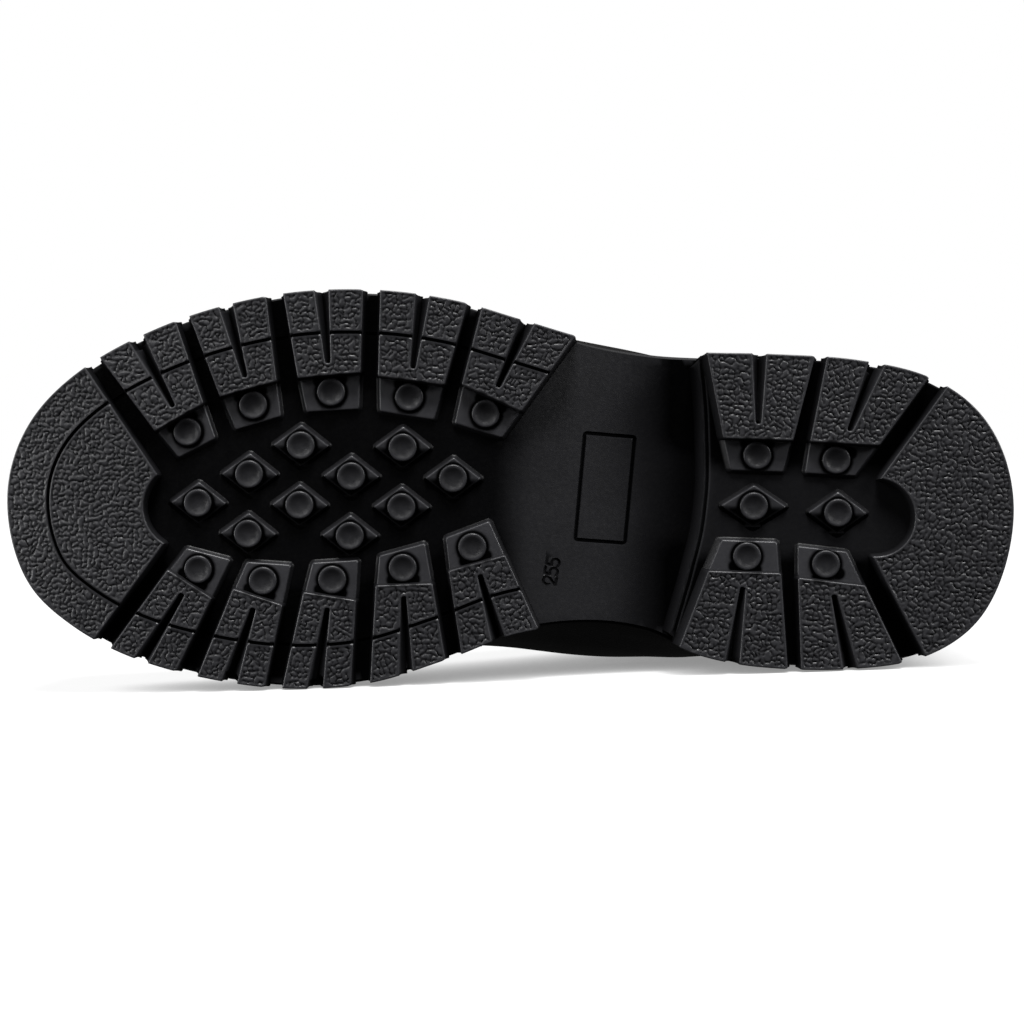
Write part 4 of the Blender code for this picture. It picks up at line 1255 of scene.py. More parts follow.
def leftward(outline: Array) -> Array:
    """The outline, turned round if it runs to the right."""
    (x, y), (next_x, next_y) = outline.T, np.roll(outline, -1, axis=0).T
    return outline if np.sum(x * next_y - next_x * y) > 0 else outline[::-1]


def lattice(outline: Array, xs: Array, ys: Array, margin: float, shift: float = 0.0) -> Array:
    """Points of a lattice that lie inside a closed outline.

    Args:
        outline: The outline.
        xs: Stations of the columns.
        ys: Places of the rows.
        margin: Distance kept from the outline.
        shift: How far every other row is moved along.

    Returns:
        The points.
    """
    points = np.stack(np.meshgrid(xs, ys), axis=-1)
    points[::2, :, 0] += shift
    points = points.reshape(-1, 2)
    points = points[inside(points, outline)]
    return points[distance(points, close(outline)) > margin]


def fill(outline: Array, *inner: Array) -> tuple[Array, list]:
    """Triangles over a closed outline and the points inside it.

    Args:
        outline: The outline.
        inner: Arrays of points inside it.

    Returns:
        All the points, and the faces.
    """
    points, count = np.vstack([outline, *inner]), len(outline)
    rim = [(i, (i + 1) % count) for i in range(count)]
    made = delaunay_2d_cdt([Vector(p) for p in points], rim, [], 1, 1e-7, False)
    flat, faces = np.array([tuple(p) for p in made[0]]), np.array(made[2])
    across = np.all(faces < count, axis=1)
    across[across] = ~inside(flat[faces[across]].mean(axis=1), outline)
    return flat, faces[~across]


@dataclass
class Groove:
    """A narrow groove cut into a face along a path."""

    path: Array
    half: float
    depth: float
    lip: float = 1.25

    def seeds(self, pitch: float) -> Array:
        """Points beside the path, so that the mesh follows the groove.

        Args:
            pitch: Distance between them along it.

        Returns:
            The points.
        """
        line = resample(self.path, pitch)
        side = turn_left(unit(np.gradient(line, axis=0))) * self.half
        return np.vstack([line + side * reach for reach in (-self.lip, -0.6, 0.6, self.lip)])

    def clear(self, points: Array, margin: float) -> Array:
        """Those points that lie clear of the groove."""
        return points[distance(points, self.path) > self.half * self.lip + margin]

    def cut(self, points: Array) -> Array:
        """Depth of the groove at points."""
        away = distance(points, self.path) / self.half
        return self.depth * ease((self.lip - away) / 0.65)


class LugFrame(NamedTuple):
    """Corners of a side lug, and the direction from its inner end outwards."""

    front: Array
    back: Array
    inner_front: Array
    inner_back: Array
    out: Array

    @property
    def base(self) -> Array:
        """Middle of the inner end."""
        return (self.inner_front + self.inner_back) / 2


class Lug(NamedTuple):
    """A side lug: stations of its outer corners on the outline, its inner corners, and the width of
    its slope towards the heel's breast."""

    side: int
    front: float
    back: float
    inner_front: tuple
    inner_back: tuple
    heel: bool
    slope: float = 0.0

    def frame(self) -> LugFrame:
        """Work out the corners.

        Returns:
            The corners and the direction outwards.
        """
        front, back = (OUTLINE.point(OUTLINE.angle(x, self.side)) for x in (self.front, self.back))
        inner_front, inner_back = np.array(self.inner_front), np.array(self.inner_back)
        return LugFrame(front, back, inner_front, inner_back, unit(front + back - inner_front - inner_back))


class EndLug(NamedTuple):
    """The large lug round the toe or the heel, hollowed by a round scallop."""

    outer_x: float
    inner_x: float
    outer_corner: tuple
    inner_corner: tuple
    scallop: tuple
    heel: bool


@dataclass
class Slab:
    """A raised block of the tread.

    rim marks the outline's points on the sole's edge, floor gives the floor at a station, and
    draft and glint are the slope and the painted highlight of the wall at each point. sink is
    the extra depth of the top, and tone the painted light of a plain top, where it has no grain.
    """

    outline: Array
    rim: Array
    floor: Callable
    pitch: float
    draft: Array
    glint: Array
    top: float = 0.0
    grained: bool = False
    sink: Callable = lambda at: np.zeros(len(at))
    tone: Callable = lambda at: 0.8

    @classmethod
    def even(cls, outline: Array, rim: Array, floor: Callable, pitch: float, draft: float,
             **settings: object) -> "Slab":
        """Even out an outline, turn it left and make the slab.

        Args:
            outline: Points round the block.
            rim: 1 for each of them that lies on the sole's edge, else 0.
            floor: Floor beside the block, by station.
            pitch: Distance between the points of its top.
            draft: How far its walls spread.
            settings: Other values of the slab.

        Returns:
            The slab.
        """
        on_rim = outline[rim > 0.5]
        outline = resample(leftward(outline), pitch * 1.2, closed=True)
        near = distance(outline, on_rim) < 0.28
        drafts, glints = (np.full(len(outline), value) for value in (draft, 0.6))
        return cls(outline, near, floor, pitch, drafts, glints, **settings)

    def widen(self, slope: float) -> "Slab":
        """Give the side that faces the heel's breast a broad slope.

        Args:
            slope: Its width.

        Returns:
            The slab.
        """
        facing = (left_of(self.outline)[:, 0] < -0.75) & ~self.rim
        self.draft[facing] = np.maximum(self.draft[facing], slope)
        return self


@dataclass
class Tread:
    """The outsole: body, heel block, lugs, platforms, diamonds and studs.

    side_profile holds shares of the side's height and insets; heel_steps insets, rises, drafts
    and the painted light of the floor under the heel; stud_profile distances from the stud's
    radius, heights and painted light: painted shade at its foot, a painted highlight on its rim.
    Pairs such as stud_inset are for the forefoot and the heel.
    """

    palette: Palette
    grain_depth: float = 0.6
    grain_cell: float = 1.5
    grain_border: float = 0.5
    edge_radius: float = 0.3
    rim_pitch: float = 0.45
    rim_step: float = 1.3
    rim_drop: float = 3.4
    wall_shares: tuple = (0.0, 0.12, 0.3, 0.5, 0.7, 0.86, 0.95, 1.0, 1.12)
    side_profile: tuple = (
        (0.0, 0.0), (0.04, -0.05), (0.3, 0.0), (0.62, 0.1), (0.66, 0.1), (0.68, 0.6), (0.72, 0.6),
        (0.74, 0.1), (0.78, 0.12), (0.97, 0.2), (1.0, 0.5))
    heel_step: float = 1.0
    heel_steps: tuple = ((1.4, 0.0, 0.3, 0.32), (0.0, 0.7, 1.6, 0.1))
    platform: float = 1.5
    platform_depth: tuple = (10.0, 9.0)
    stud_inset: tuple = (5.3, 4.5)
    stud_radius: float = 3.9
    stud_lift: float = 0.4
    stud_profile: tuple = (
        (0.45, -0.8, 0.0), (0.38, 0.35, 0.0), (0.22, 0.99, 0.1), (0.1, 1.4, 0.5), (-0.05, 1.59, 0.85),
        (-0.3, 1.65, 0.9), (-0.62, 1.63, 0.85), (-0.95, 1.51, 0.6), (-1.45, 1.29, 0.5),
        (-2.1, 1.09, 0.5), (-2.9, 0.95, 0.55), (-3.55, 0.89, 0.6))
    slit_reach: float = 13.5
    slit_mouth: float = 1.85
    slit_end: float = 0.78
    slit_draft: float = 0.75
    groove_inset: float = 12.4
    rectangle: tuple = ((123.4, 19.9), (108.6, 19.1), (110.9, -12.1), (125.6, -11.3))
    digit_middle: tuple = (132.4, -20.7)
    digit_height: float = 3.75
    digit_pitch: float = 0.72
    digit_slant: tuple = (0.985, 0.17)
    diamond_centre: tuple = (205.5, -2.9)
    diamond_pitch: tuple = (14.7, 8.6)
    diamond_half: tuple = (8.1, 6.1)
    diamond_sink: float = 1.5
    diamond_cells: tuple = (
        (2, 0), (1, 1), (1, -1), (0, 2), (0, 0), (-1, 1), (-1, -1), (-2, 2), (-2, 0), (-3, 1))
    heel_diamonds: tuple = ((74.5, -0.5, 9.5), (50.2, -1.9, 8.5))
    lugs: tuple = (
        Lug(1, 265.2, 242.3, (241.2, 10.0), (230.1, 16.0), False),
        Lug(1, 239.2, 216.2, (224.7, 18.4), (211.2, 22.7), False),
        Lug(1, 212.2, 188.3, (204.3, 24.0), (188.7, 25.2), False),
        Lug(1, 184.3, 158.2, (183.2, 24.7), (167.0, 22.5), False),
        Lug(1, 155.0, 126.8, (161.5, 21.7), (147.3, 17.7), False),
        Lug(-1, 260.3, 240.0, (238.4, -16.0), (225.0, -19.1), False),
        Lug(-1, 234.7, 214.2, (220.7, -19.6), (207.4, -20.2), False),
        Lug(-1, 210.1, 189.4, (201.7, -19.5), (188.1, -18.4), False),
        Lug(-1, 184.8, 162.4, (182.4, -17.1), (168.9, -13.1), False),
        Lug(-1, 158.7, 135.8, (163.4, -11.5), (150.5, -6.3), False),
        Lug(1, 90.1, 58.0, (81.6, 9.8), (66.0, 9.6), True, 1.2),
        Lug(1, 55.5, 25.0, (60.2, 9.4), (45.2, 8.9), True),
        Lug(-1, 96.2, 64.0, (83.8, -10.4), (67.3, -10.6), True, 1.6),
        Lug(-1, 61.1, 31.1, (61.8, -11.7), (47.1, -13.1), True))
    toe_lug: EndLug = EndLug(268.0, 263.5, (246.9, 5.2), (244.2, -14.6), (238.5, -4.0, 12.2), False)
    heel_lug: EndLug = EndLug(20.7, 25.4, (38.6, 8.4), (40.4, -14.4), (39.5, -3.0, 11.2), True)

    @staticmethod
    def floor(heel: bool) -> Callable:
        """Floor between the lugs, by station; it is level under the heel."""
        return (lambda x: np.full(np.shape(x), OUTLINE.lug_height)) if heel else OUTLINE.floor

    @staticmethod
    def step_line(row: Lug, reach: float) -> tuple[Array, Array]:
        """Where the line between a side lug's tall and low parts meets its two sides.

        Args:
            row: The lug.
            reach: Distance of the line from the inner end.

        Returns:
            The two points.
        """
        at = row.frame()
        out = turn_left(unit(at.inner_front - at.inner_back)) * row.side if row.heel else at.out
        ends = ((at.inner_front, at.front - at.inner_front), (at.inner_back, at.back - at.inner_back))
        return tuple(inner + side * ((at.base - inner) @ out + reach) / (side @ out) for inner, side in ends)

    def block(self, row: Lug) -> Slab:
        """Tall outer part of a side lug, with its slit.

        Args:
            row: The lug.

        Returns:
            The block.
        """
        at = row.frame()
        across = unit(at.back - at.front)
        step_front, step_back = self.step_line(row, self.platform_depth[row.heel])
        angles = [OUTLINE.angle(x, row.side) for x in (row.front, (row.front + row.back) / 2, row.back)]
        run = OUTLINE.run(angles[0], angles[2], self.rim_pitch)
        mouth, end = OUTLINE.point(angles[1]), at.base + at.out * self.slit_reach
        opening, wide, narrow = mouth + at.out * 2, across * self.slit_mouth, across * self.slit_end
        reach = (run - mouth) @ across
        first, second = run[reach < -self.slit_mouth], run[reach > self.slit_mouth]
        slit = rounded([opening - wide, end - narrow, end + narrow, opening + wide], 0.6)
        slit = slit[(slit - mouth) @ at.out < -0.6]
        rear = rounded([second[-1], step_back, step_front, first[0]], 0.3)[4:-5]
        parts = (first[2:], slit, second[:-2], rear)
        rim = np.repeat([1.0, 0.0, 1.0, 0.0], [len(part) for part in parts])
        made = Slab.even(np.vstack(parts), rim, self.floor(row.heel), 0.34, 0.6, grained=True)
        away = distance(made.outline, np.array([end, opening]))
        flank = ~made.rim & (away < self.slit_mouth + 0.2)
        made.draft[flank] = away[flank] * self.slit_draft
        # The slit's flanks carry a painted highlight.
        made.glint[flank] = 1.0
        return made.widen(row.slope)

    def end_slab(self, row: EndLug) -> Slab:
        """The lug round the toe or the heel.

        Args:
            row: The lug.

        Returns:
            The block.
        """
        turn = 2 * pi if row.heel else 0.0
        start, stop = OUTLINE.angle(row.outer_x, 1), OUTLINE.angle(row.inner_x, -1) - turn
        run = OUTLINE.run(start, stop, self.rim_pitch)
        centre, radius = np.array(row.scallop[:2]), row.scallop[2]
        first, last = (np.arctan2(*(corner - centre)[::-1])
                       for corner in (row.inner_corner, row.outer_corner))
        angles = np.linspace(first + turn * (first < 0), last, 50)
        hollow = centre + radius * np.stack([np.cos(angles), np.sin(angles)], axis=1)
        rim = np.repeat([1.0, 0.0], [len(run) - 4, len(hollow)])
        return Slab.even(np.vstack([run[2:-2], hollow]), rim, self.floor(row.heel), 0.36, 0.6, grained=True)

    def low_slab(self, corners: Sequence, radius: float, heel: bool, draft: float,
                 **settings: Callable) -> Slab:
        """A low plain block that carries a stud.

        Args:
            corners: Corners of the block.
            radius: How they are rounded.
            heel: Whether it is on the heel.
            draft: How far its walls spread.
            settings: Other values of the slab.

        Returns:
            The block.
        """
        outline = rounded(corners, radius)
        return Slab.even(outline, np.zeros(len(outline)), self.floor(heel), 0.4, draft,
                         top=OUTLINE.lug_height - self.platform, **settings)

    def ledge(self, row: Lug) -> Slab:
        """Low inner end of a side lug.

        Args:
            row: The lug.

        Returns:
            The block.
        """
        at = row.frame()
        step_front, step_back = self.step_line(row, self.platform_depth[row.heel] + 2.0)
        inset = unit(at.inner_back - at.inner_front) * 0.25
        corners = [at.inner_front + inset, step_front + inset, step_back - inset, at.inner_back - inset]
        # Painted light: the ledge's plain top is painted paler than the other plain tops.
        return self.low_slab(corners, 0.35, row.heel, 0.7, tone=lambda at: 1.15).widen(row.slope)

    def diamonds(self) -> list[tuple]:
        """Centre and half-length of each diamond."""
        (x, y), (along, across), half = self.diamond_centre, self.diamond_pitch, self.diamond_half[0]
        return [(x + along * i, y + across * k, half) for i, k in self.diamond_cells] + [*self.heel_diamonds]

    def diamond(self, x: float, y: float, half: float) -> Slab:
        """A low diamond whose lower half falls away from its crossed ridges and carries painted shade.

        Args:
            x: Station.
            y: Place across the sole.
            half: Half-length.

        Returns:
            The block.
        """
        tall = self.diamond_half[1]
        corners = [(x + half, y), (x, y + tall), (x - half, y), (x, y - tall)]
        # Painted shade darkens the lower half's top, and its walls there get no painted highlight.
        made = self.low_slab(corners, 0.25, x < 120, 0.75,
                             sink=lambda at: self.diamond_sink * np.clip((y - at[:, 1]) / tall, 0, 1),
                             tone=lambda at: 0.9 - 0.82 * ease((y + 0.4 - at[:, 1]) / 1.6))
        made.glint[made.outline[:, 1] < y] = 0.0
        return made

    def stitch_groove(self, start: float = 120.0, stop: float = 126.0) -> Groove:
        """The fine groove round the forefoot, a fixed way inside the outline."""
        angles = np.linspace(OUTLINE.angle(start, 1), OUTLINE.angle(stop, -1), 360)
        return Groove(OUTLINE.point(angles, self.groove_inset), 0.45, 0.9)

    def posts(self) -> tuple[Array, Array]:
        """Middle and radius of each stud, one on each ledge and diamond, and of what lies in their shade.

        Returns:
            The studs alone, and the studs with what lies in their shade.
        """
        places, shade = [], []
        for row in self.lugs:
            at = row.frame()
            places.append(at.base + at.out * self.stud_inset[row.heel])
            beside = turn_left(at.out) * 3.0
            shade += [(*(places[-1] + at.out * 3.4 + beside * way), 0.9) for way in (-1, 1)]
        places += [np.array(place[:2]) for place in self.diamonds()]
        studs = np.column_stack([places, np.full(len(places), self.stud_radius)])
        return studs, np.vstack([studs, shade])

    def studs(self) -> Object:
        """Round studs with a dished top, one on each ledge and diamond.

        Returns:
            The piece.
        """
        seats = Seats()
        for x, y, _ in self.posts()[0]:
            tilt = (OUTLINE.spring(x + 1) - OUTLINE.spring(x - 1)) / 2
            out = unit(np.array([tilt, 0.0, -1.0]))
            z = OUTLINE.lug_height - self.platform + self.stud_lift + OUTLINE.spring(x)
            seats.seat((x, y, z), out, np.cross([0.0, 1.0, 0.0], out))
        # The profile's third column is painted light: painted shade at the stud's foot, a painted highlight
        # on its rim.
        away, height, relief = np.array(self.stud_profile).T
        shape = lathe("stud", np.column_stack([self.stud_radius + away, height]), 40, relief)
        return Copier(Rows.SEATS).make("sole_studs", seats, shape, self.palette.tread)

    def mould(self, skin: Skin, slab: Slab, seed: int = 0, grooves: Sequence[Groove] = ()) -> None:
        """Add a slab to the mesh: its top, its walls down into the floor, and its foot.

        Args:
            skin: Mesh that takes it.
            slab: The slab.
            seed: Which grain pattern.
            grooves: Grooves across its top.
        """
        edge, into, radius = slab.outline, left_of(slab.outline), self.edge_radius
        rim, low, high = close(edge), edge.min(axis=0), edge.max(axis=0)
        xs, ys = np.arange(low[0], high[0], slab.pitch), np.arange(low[1], high[1], slab.pitch * 0.866)
        inner = lattice(edge, xs, ys, radius * 2 + slab.pitch * 0.6, slab.pitch / 2)
        near = []
        for reach in (radius * 0.35, radius, radius * 2):
            row = edge + into * reach
            near.append(row[distance(row, rim) > reach * 0.93])
        for groove in grooves:
            marks = groove.seeds(0.5)
            marks = marks[inside(marks, edge)]
            marks = marks[distance(marks, rim) > radius * 2.3]
            if len(marks):
                near.append(marks)
                inner = groove.clear(inner, slab.pitch * 0.5)
        flat, faces = fill(edge, *near, inner)
        away = distance(flat, rim)
        height = slab.sink(flat) + radius * (1 - quarter(away / radius))
        posts = self.posts()[1]
        clear = (np.linalg.norm(flat[:, None] - posts[:, :2], axis=2) - posts[:, 2]).min(axis=1)
        # Painted light: painted shade round each stud and where the step beside it shades the ledge, and a
        # painted highlight along the top's edge.
        relief = slab.tone(flat) * ease((clear - 0.5) / 1.1) + 0.3 * ease((0.7 - away) / 0.4)
        if slab.grained:
            grain = pebble(flat, self.grain_cell, seed)
            mask = ease((away - self.grain_border) / 0.35)
            for groove in grooves:
                mask = mask * ease((distance(flat, groove.path) - groove.half - 0.55) / 0.35)
            height += self.grain_depth * (1 - grain) * mask
            # The grain carries painted light too: painted shade in its crevices, a painted highlight on its
            # lumps.
            relief = relief * (1 - mask) + grain * mask
        for groove in grooves:
            cut = groove.cut(flat)
            height += cut
            # Painted shade in the grooves.
            relief = relief * (1 - cut / groove.depth)
        z = slab.top + height + OUTLINE.spring(flat[:, 0])
        skin.face(faces, skin.add(np.column_stack([flat, z]), relief))
        self.walls(skin, slab, into)

    def walls(self, skin: Skin, slab: Slab, into: Array) -> None:
        """Walls of a slab: drafted down to a small fillet at the floor, and straight on the rim.

        Args:
            skin: Mesh that takes them.
            slab: The slab.
            into: Directions into it.
        """
        edge, radius, count = slab.outline, self.edge_radius, len(slab.outline)
        for i in np.flatnonzero(slab.rim != np.roll(slab.rim, 1)):
            into[np.arange(i, i + 3) % count] = into[(i + 3) % count]
            into[np.arange(i - 3, i) % count] = into[(i - 4) % count]
        top = slab.top + slab.sink(edge)
        drop = slab.floor(edge[:, 0]) - top + np.where(slab.rim, self.rim_drop, 0.0)
        rows = []
        for share in self.wall_shares:
            fillet, tuck = 0.25 * max(share - 0.8, 0) / 0.2, 1.9 * max(share - 0.86, 0) / 0.26
            inwards = np.where(slab.rim, tuck, -slab.draft * share - fillet)
            z = top + radius + (drop - radius) * share + OUTLINE.spring(edge[:, 0])
            rows.append(np.column_stack([edge + into * inwards[:, None], z]))
        # Painted light on the walls: the glint's painted highlight at the top, fading to painted shade at the
        # foot.
        fade = np.linspace(0, 1, len(rows))[:, None]
        skin.wall(rows, slab.glint * (1 - fade) + 0.1 * fade)

    def digits(self) -> list[Groove]:
        """The moulded size number, a plain 255, as strokes.

        Returns:
            A groove for each digit.
        """
        two = [(0.0, 0.76), (0.1, 0.95), (0.3, 1.0), (0.5, 0.94), (0.58, 0.74), (0.5, 0.52),
               (0.0, 0.0), (0.6, 0.0)]
        five = [(0.56, 1.0), (0.1, 1.0), (0.05, 0.56), (0.3, 0.62), (0.52, 0.52), (0.6, 0.3), (0.5, 0.07),
                (0.25, 0.0), (0.02, 0.1)]
        upright = np.array(self.digit_slant)
        reading = upright[::-1] * [-1, 1]
        strokes = []
        for place, glyph in zip((1, 0, -1), (two, five, five)):
            at = (np.array(glyph) - [0.3 + self.digit_pitch * place, 0.5]) * self.digit_height
            strokes.append(Groove(self.digit_middle + at[:, :1] * reading + at[:, 1:] * upright, 0.4, 0.5))
        return strokes

    def body(self) -> Skin:
        """The sole between the lugs, its side wall and its top, and the heel block.

        Returns:
            The mesh.
        """
        skin = Skin()
        edge = OUTLINE.point(turns(520), self.rim_step)[::-1]
        grooves = [Groove(close(rounded(self.rectangle, 0.6)), 0.52, 0.7), self.stitch_groove(146.0, 152.0),
                   *self.digits()]
        inner = lattice(edge, np.arange(2, 290, 2.2), np.arange(-56, 60, 2.0), 1.2)
        for groove in grooves:
            inner = groove.clear(inner, 0.6)
        flat, faces = fill(edge, inner, *(groove.seeds(0.35) for groove in grooves))
        x = flat[:, 0]
        cut = np.max([groove.cut(flat) for groove in grooves], axis=0)
        # Painted light on the floor: paler across the waist, fading to painted shade beside the heel's
        # breast; painted shade near the sole's edge between the lugs and in the grooves.
        waist = ease((x - 92) / 24) * ease((150 - x) / 12)
        middle = ease((distance(flat, close(edge)) - 21) / 9)
        relief = (0.57 * waist + 0.15 * middle * (1 - waist)) * (1 - cut / 0.9)
        z = OUTLINE.floor(x) + OUTLINE.spring(x) + cut
        skin.face(faces, skin.add(np.column_stack([flat, z]), relief))
        low, high = OUTLINE.floor(edge[:, 0]), OUTLINE.top(edge[:, 0])
        into, spring = left_of(edge), OUTLINE.spring(edge[:, 0])
        rows = [np.column_stack([edge + into * inset, low + (high - low) * share + spring])
                for share, inset in self.side_profile]
        skin.wall(rows, 0.5, kind=1)
        self.heel_block(skin)
        return skin

    def heel_block(self, skin: Skin) -> None:
        """The heel below the waist, with a ledge along its breast.

        Args:
            skin: Mesh that takes it.
        """
        start = OUTLINE.angle(OUTLINE.breast(42.0) - 0.6, 1)
        stop = OUTLINE.angle(OUTLINE.breast(-38.0) - 0.6, -1) - 2 * pi
        for inset, rise, draft, tone in self.heel_steps:
            run = OUTLINE.run(start, stop, 1.0, self.heel_step + 0.5 * (1.4 - inset))
            ys = np.linspace(run[-1][1], run[0][1], 60)[1:-1]
            breast = np.column_stack([OUTLINE.breast(ys) - inset, ys])
            rim = np.repeat([1.0, 0.0], [len(run), len(breast)])
            made = Slab.even(np.vstack([run, breast]), rim, OUTLINE.floor, 1.4, draft,
                             top=OUTLINE.lug_height + rise, tone=self.heel_tone(tone))
            self.mould(skin, made)

    @staticmethod
    def heel_tone(tone: float) -> Callable:
        """Painted light on the floor under the heel: paler along the middle, with painted shade towards its
        sides.
        """
        return lambda at: tone * (0.2 + 0.8 * ease((16 - np.abs(at[:, 1] + 2)) / 6))

    def build(self) -> None:
        """Make the pieces of the outsole."""
        tread, stitch = self.palette.tread, [self.stitch_groove()]
        blocks = [self.block(row) for row in self.lugs]
        groups = {"toe_lug": ([self.end_slab(self.toe_lug)], stitch), "outer_side_lugs": (blocks[:5], stitch),
                  "inner_side_lugs": (blocks[5:10], stitch),
                  "heel_lugs": (blocks[10:] + [self.end_slab(self.heel_lug)], [])}
        dress(self.body().build("sole_body", [tread, self.palette.side], sharp=0.7), "rubber", "outsole")
        for seed, (name, (slabs, grooves)) in enumerate(groups.items()):
            skin = Skin()
            for i, slab in enumerate(slabs):
                self.mould(skin, slab, 10 * seed + i, grooves)
            dress(skin.build(name, [tread], sharp=1.2), "rubber", "outsole")
        skin = Skin()
        for slab in [self.ledge(row) for row in self.lugs] + [self.diamond(*row) for row in self.diamonds()]:
            self.mould(skin, slab)
        dress(skin.build("ledges_and_diamonds", [tread], sharp=0.9), "rubber", "outsole")
        dress(self.studs(), "rubber", "outsole")


# Welt and insole -----------------------------
@dataclass
class Welt:
    """The welt between the sole and the upper, with its stitches, and the insole.

    profile holds insets from the sole's edge and heights from the welt's top, board_profile
    insets and heights of the insole's edge.
    """

    palette: Palette
    steps: int = 480
    profile: tuple = (
        (0.5, -4.0), (0.2, -3.7), (0.15, -2.4), (0.5, -2.2), (0.5, -1.9), (0.15, -1.7), (0.2, -0.6),
        (0.45, -0.15), (0.8, 0.0), (1.8, 0.0), (2.1, -0.3), (2.9, -0.3), (3.2, 0.0))
    stitch_inset: float = 2.5
    stitch_pitch: float = 4.0
    board_profile: tuple = ((0.0, 8.0), (-0.9, 7.6), (-1.4, 6.5), (-1.4, 0.0))
    board_gap: float = 2.36

    def loop(self, inset: float, lift: float) -> Array:
        """Points round the sole's outline, at a height from the welt's top."""
        flat = OUTLINE.point(turns(self.steps), inset)
        return np.column_stack([flat, FORM.feather(flat[:, 0]) - FORM.gap + lift])

    def build(self) -> None:
        """Make the welt, its stitches and the insole."""
        loops = [self.loop(inset, lift) for inset, lift in self.profile]
        loops += [FORM.low_edge(turns(self.steps), -FORM.wall - 2 * FORM.gap, -FORM.gap - drop)
                  for drop in (0.0, FORM.welt)]
        skin = Skin()
        skin.grid(np.array(loops), (True, True), relief=0.5)
        dress(skin.build("welt_strip", [self.palette.side], sharp=0.8), "rubber", "welt")
        seats = Seats()
        line = close(self.loop(self.stitch_inset, -0.25))
        seats.path(line, np.tile([0.0, 0.0, 1.0], (len(line), 1)))
        stitch = thread("stitch", 3.1, 0.42, 0.25)
        dress(Copier(Rows.PATH).make("welt_stitches", seats, stitch, self.palette.yarn,
                                     Pitch=self.stitch_pitch * MM, Uneven=0.06), "lace")
        self.insole()

    def insole(self) -> None:
        """The insole, dished under the heel."""
        edge = leftward(FORM.low_edge(turns(self.steps), -FORM.wall - self.board_gap)[::2, :2])
        flat, faces = fill(edge, lattice(edge, np.arange(0, 290, 3.0), np.arange(-54, 58, 3.0), 2.0))
        low, top = -FORM.gap - FORM.welt, self.board_profile[0][1]
        dish = 1.2 * np.exp(-((flat[:, 0] - 45) ** 2 + (flat[:, 1] + 2) ** 2) / 500.0)
        skin = Skin()
        skin.face(faces, skin.add(np.column_stack([flat, FORM.feather(flat[:, 0]) + low + top - dish])))
        rows = []
        for reach, lift in self.board_profile:
            ring = edge + left_of(edge) * reach
            rows.append(np.column_stack([ring, FORM.feather(ring[:, 0]) + low + lift]))
        first = skin.grid(np.array(rows), (False, True))
        skin.lid(first + (len(rows) - 1) * len(edge), len(edge))
        dress(skin.build("insole_board", [self.palette.footbed], sharp=1.0), "footbed", "insole")


# Upper ---------------------------------------
def spaced(length: float, step: float) -> Array:
    """Shares 0 to 1 along a length, closer together at both ends.

    Args:
        length: The length.
        step: Distance between samples in the middle.

    Returns:
        The shares.
    """
    ends = np.array(SOFT_EDGE) / length
    middle = np.linspace(ends[-1], 1 - ends[-1], max(int(length / step), 2) + 1)
    return np.concatenate([ends[:-1], middle, 1 - ends[:-1][::-1]])


@dataclass
class Cover:
    """A panel of leather laid over the form, with rounded edges.

    place gives levels and angles for shares along and across the panel, and base is the
    distance of its back from the form.
    """

    place: Callable
    length: float
    width: float
    base: float
    thick: float
    step: float = 2.0

    def build(self, name: str, leather: Material, *nodes: str) -> None:
        """Make the panel: its face, and its back just under it.

        Args:
            name: Name of the piece.
            leather: Its finish.
            nodes: CAD nodes that it stands for.
        """
        s, t = np.meshgrid(spaced(self.length, self.step), spaced(self.width, self.step), indexing="ij")
        level, angle = self.place(s, t)
        near = np.minimum(np.minimum(s, 1 - s) * self.length, np.minimum(t, 1 - t) * self.width)
        skin = Skin()
        skin.grid(FORM.surface(level, angle, self.base + self.thick * quarter(near / 0.75)), relief=1.0)
        skin.grid(FORM.surface(level, angle, self.base), relief=0.0)
        dress(skin.build(name, [leather], sharp=1.0), "leather", *nodes)


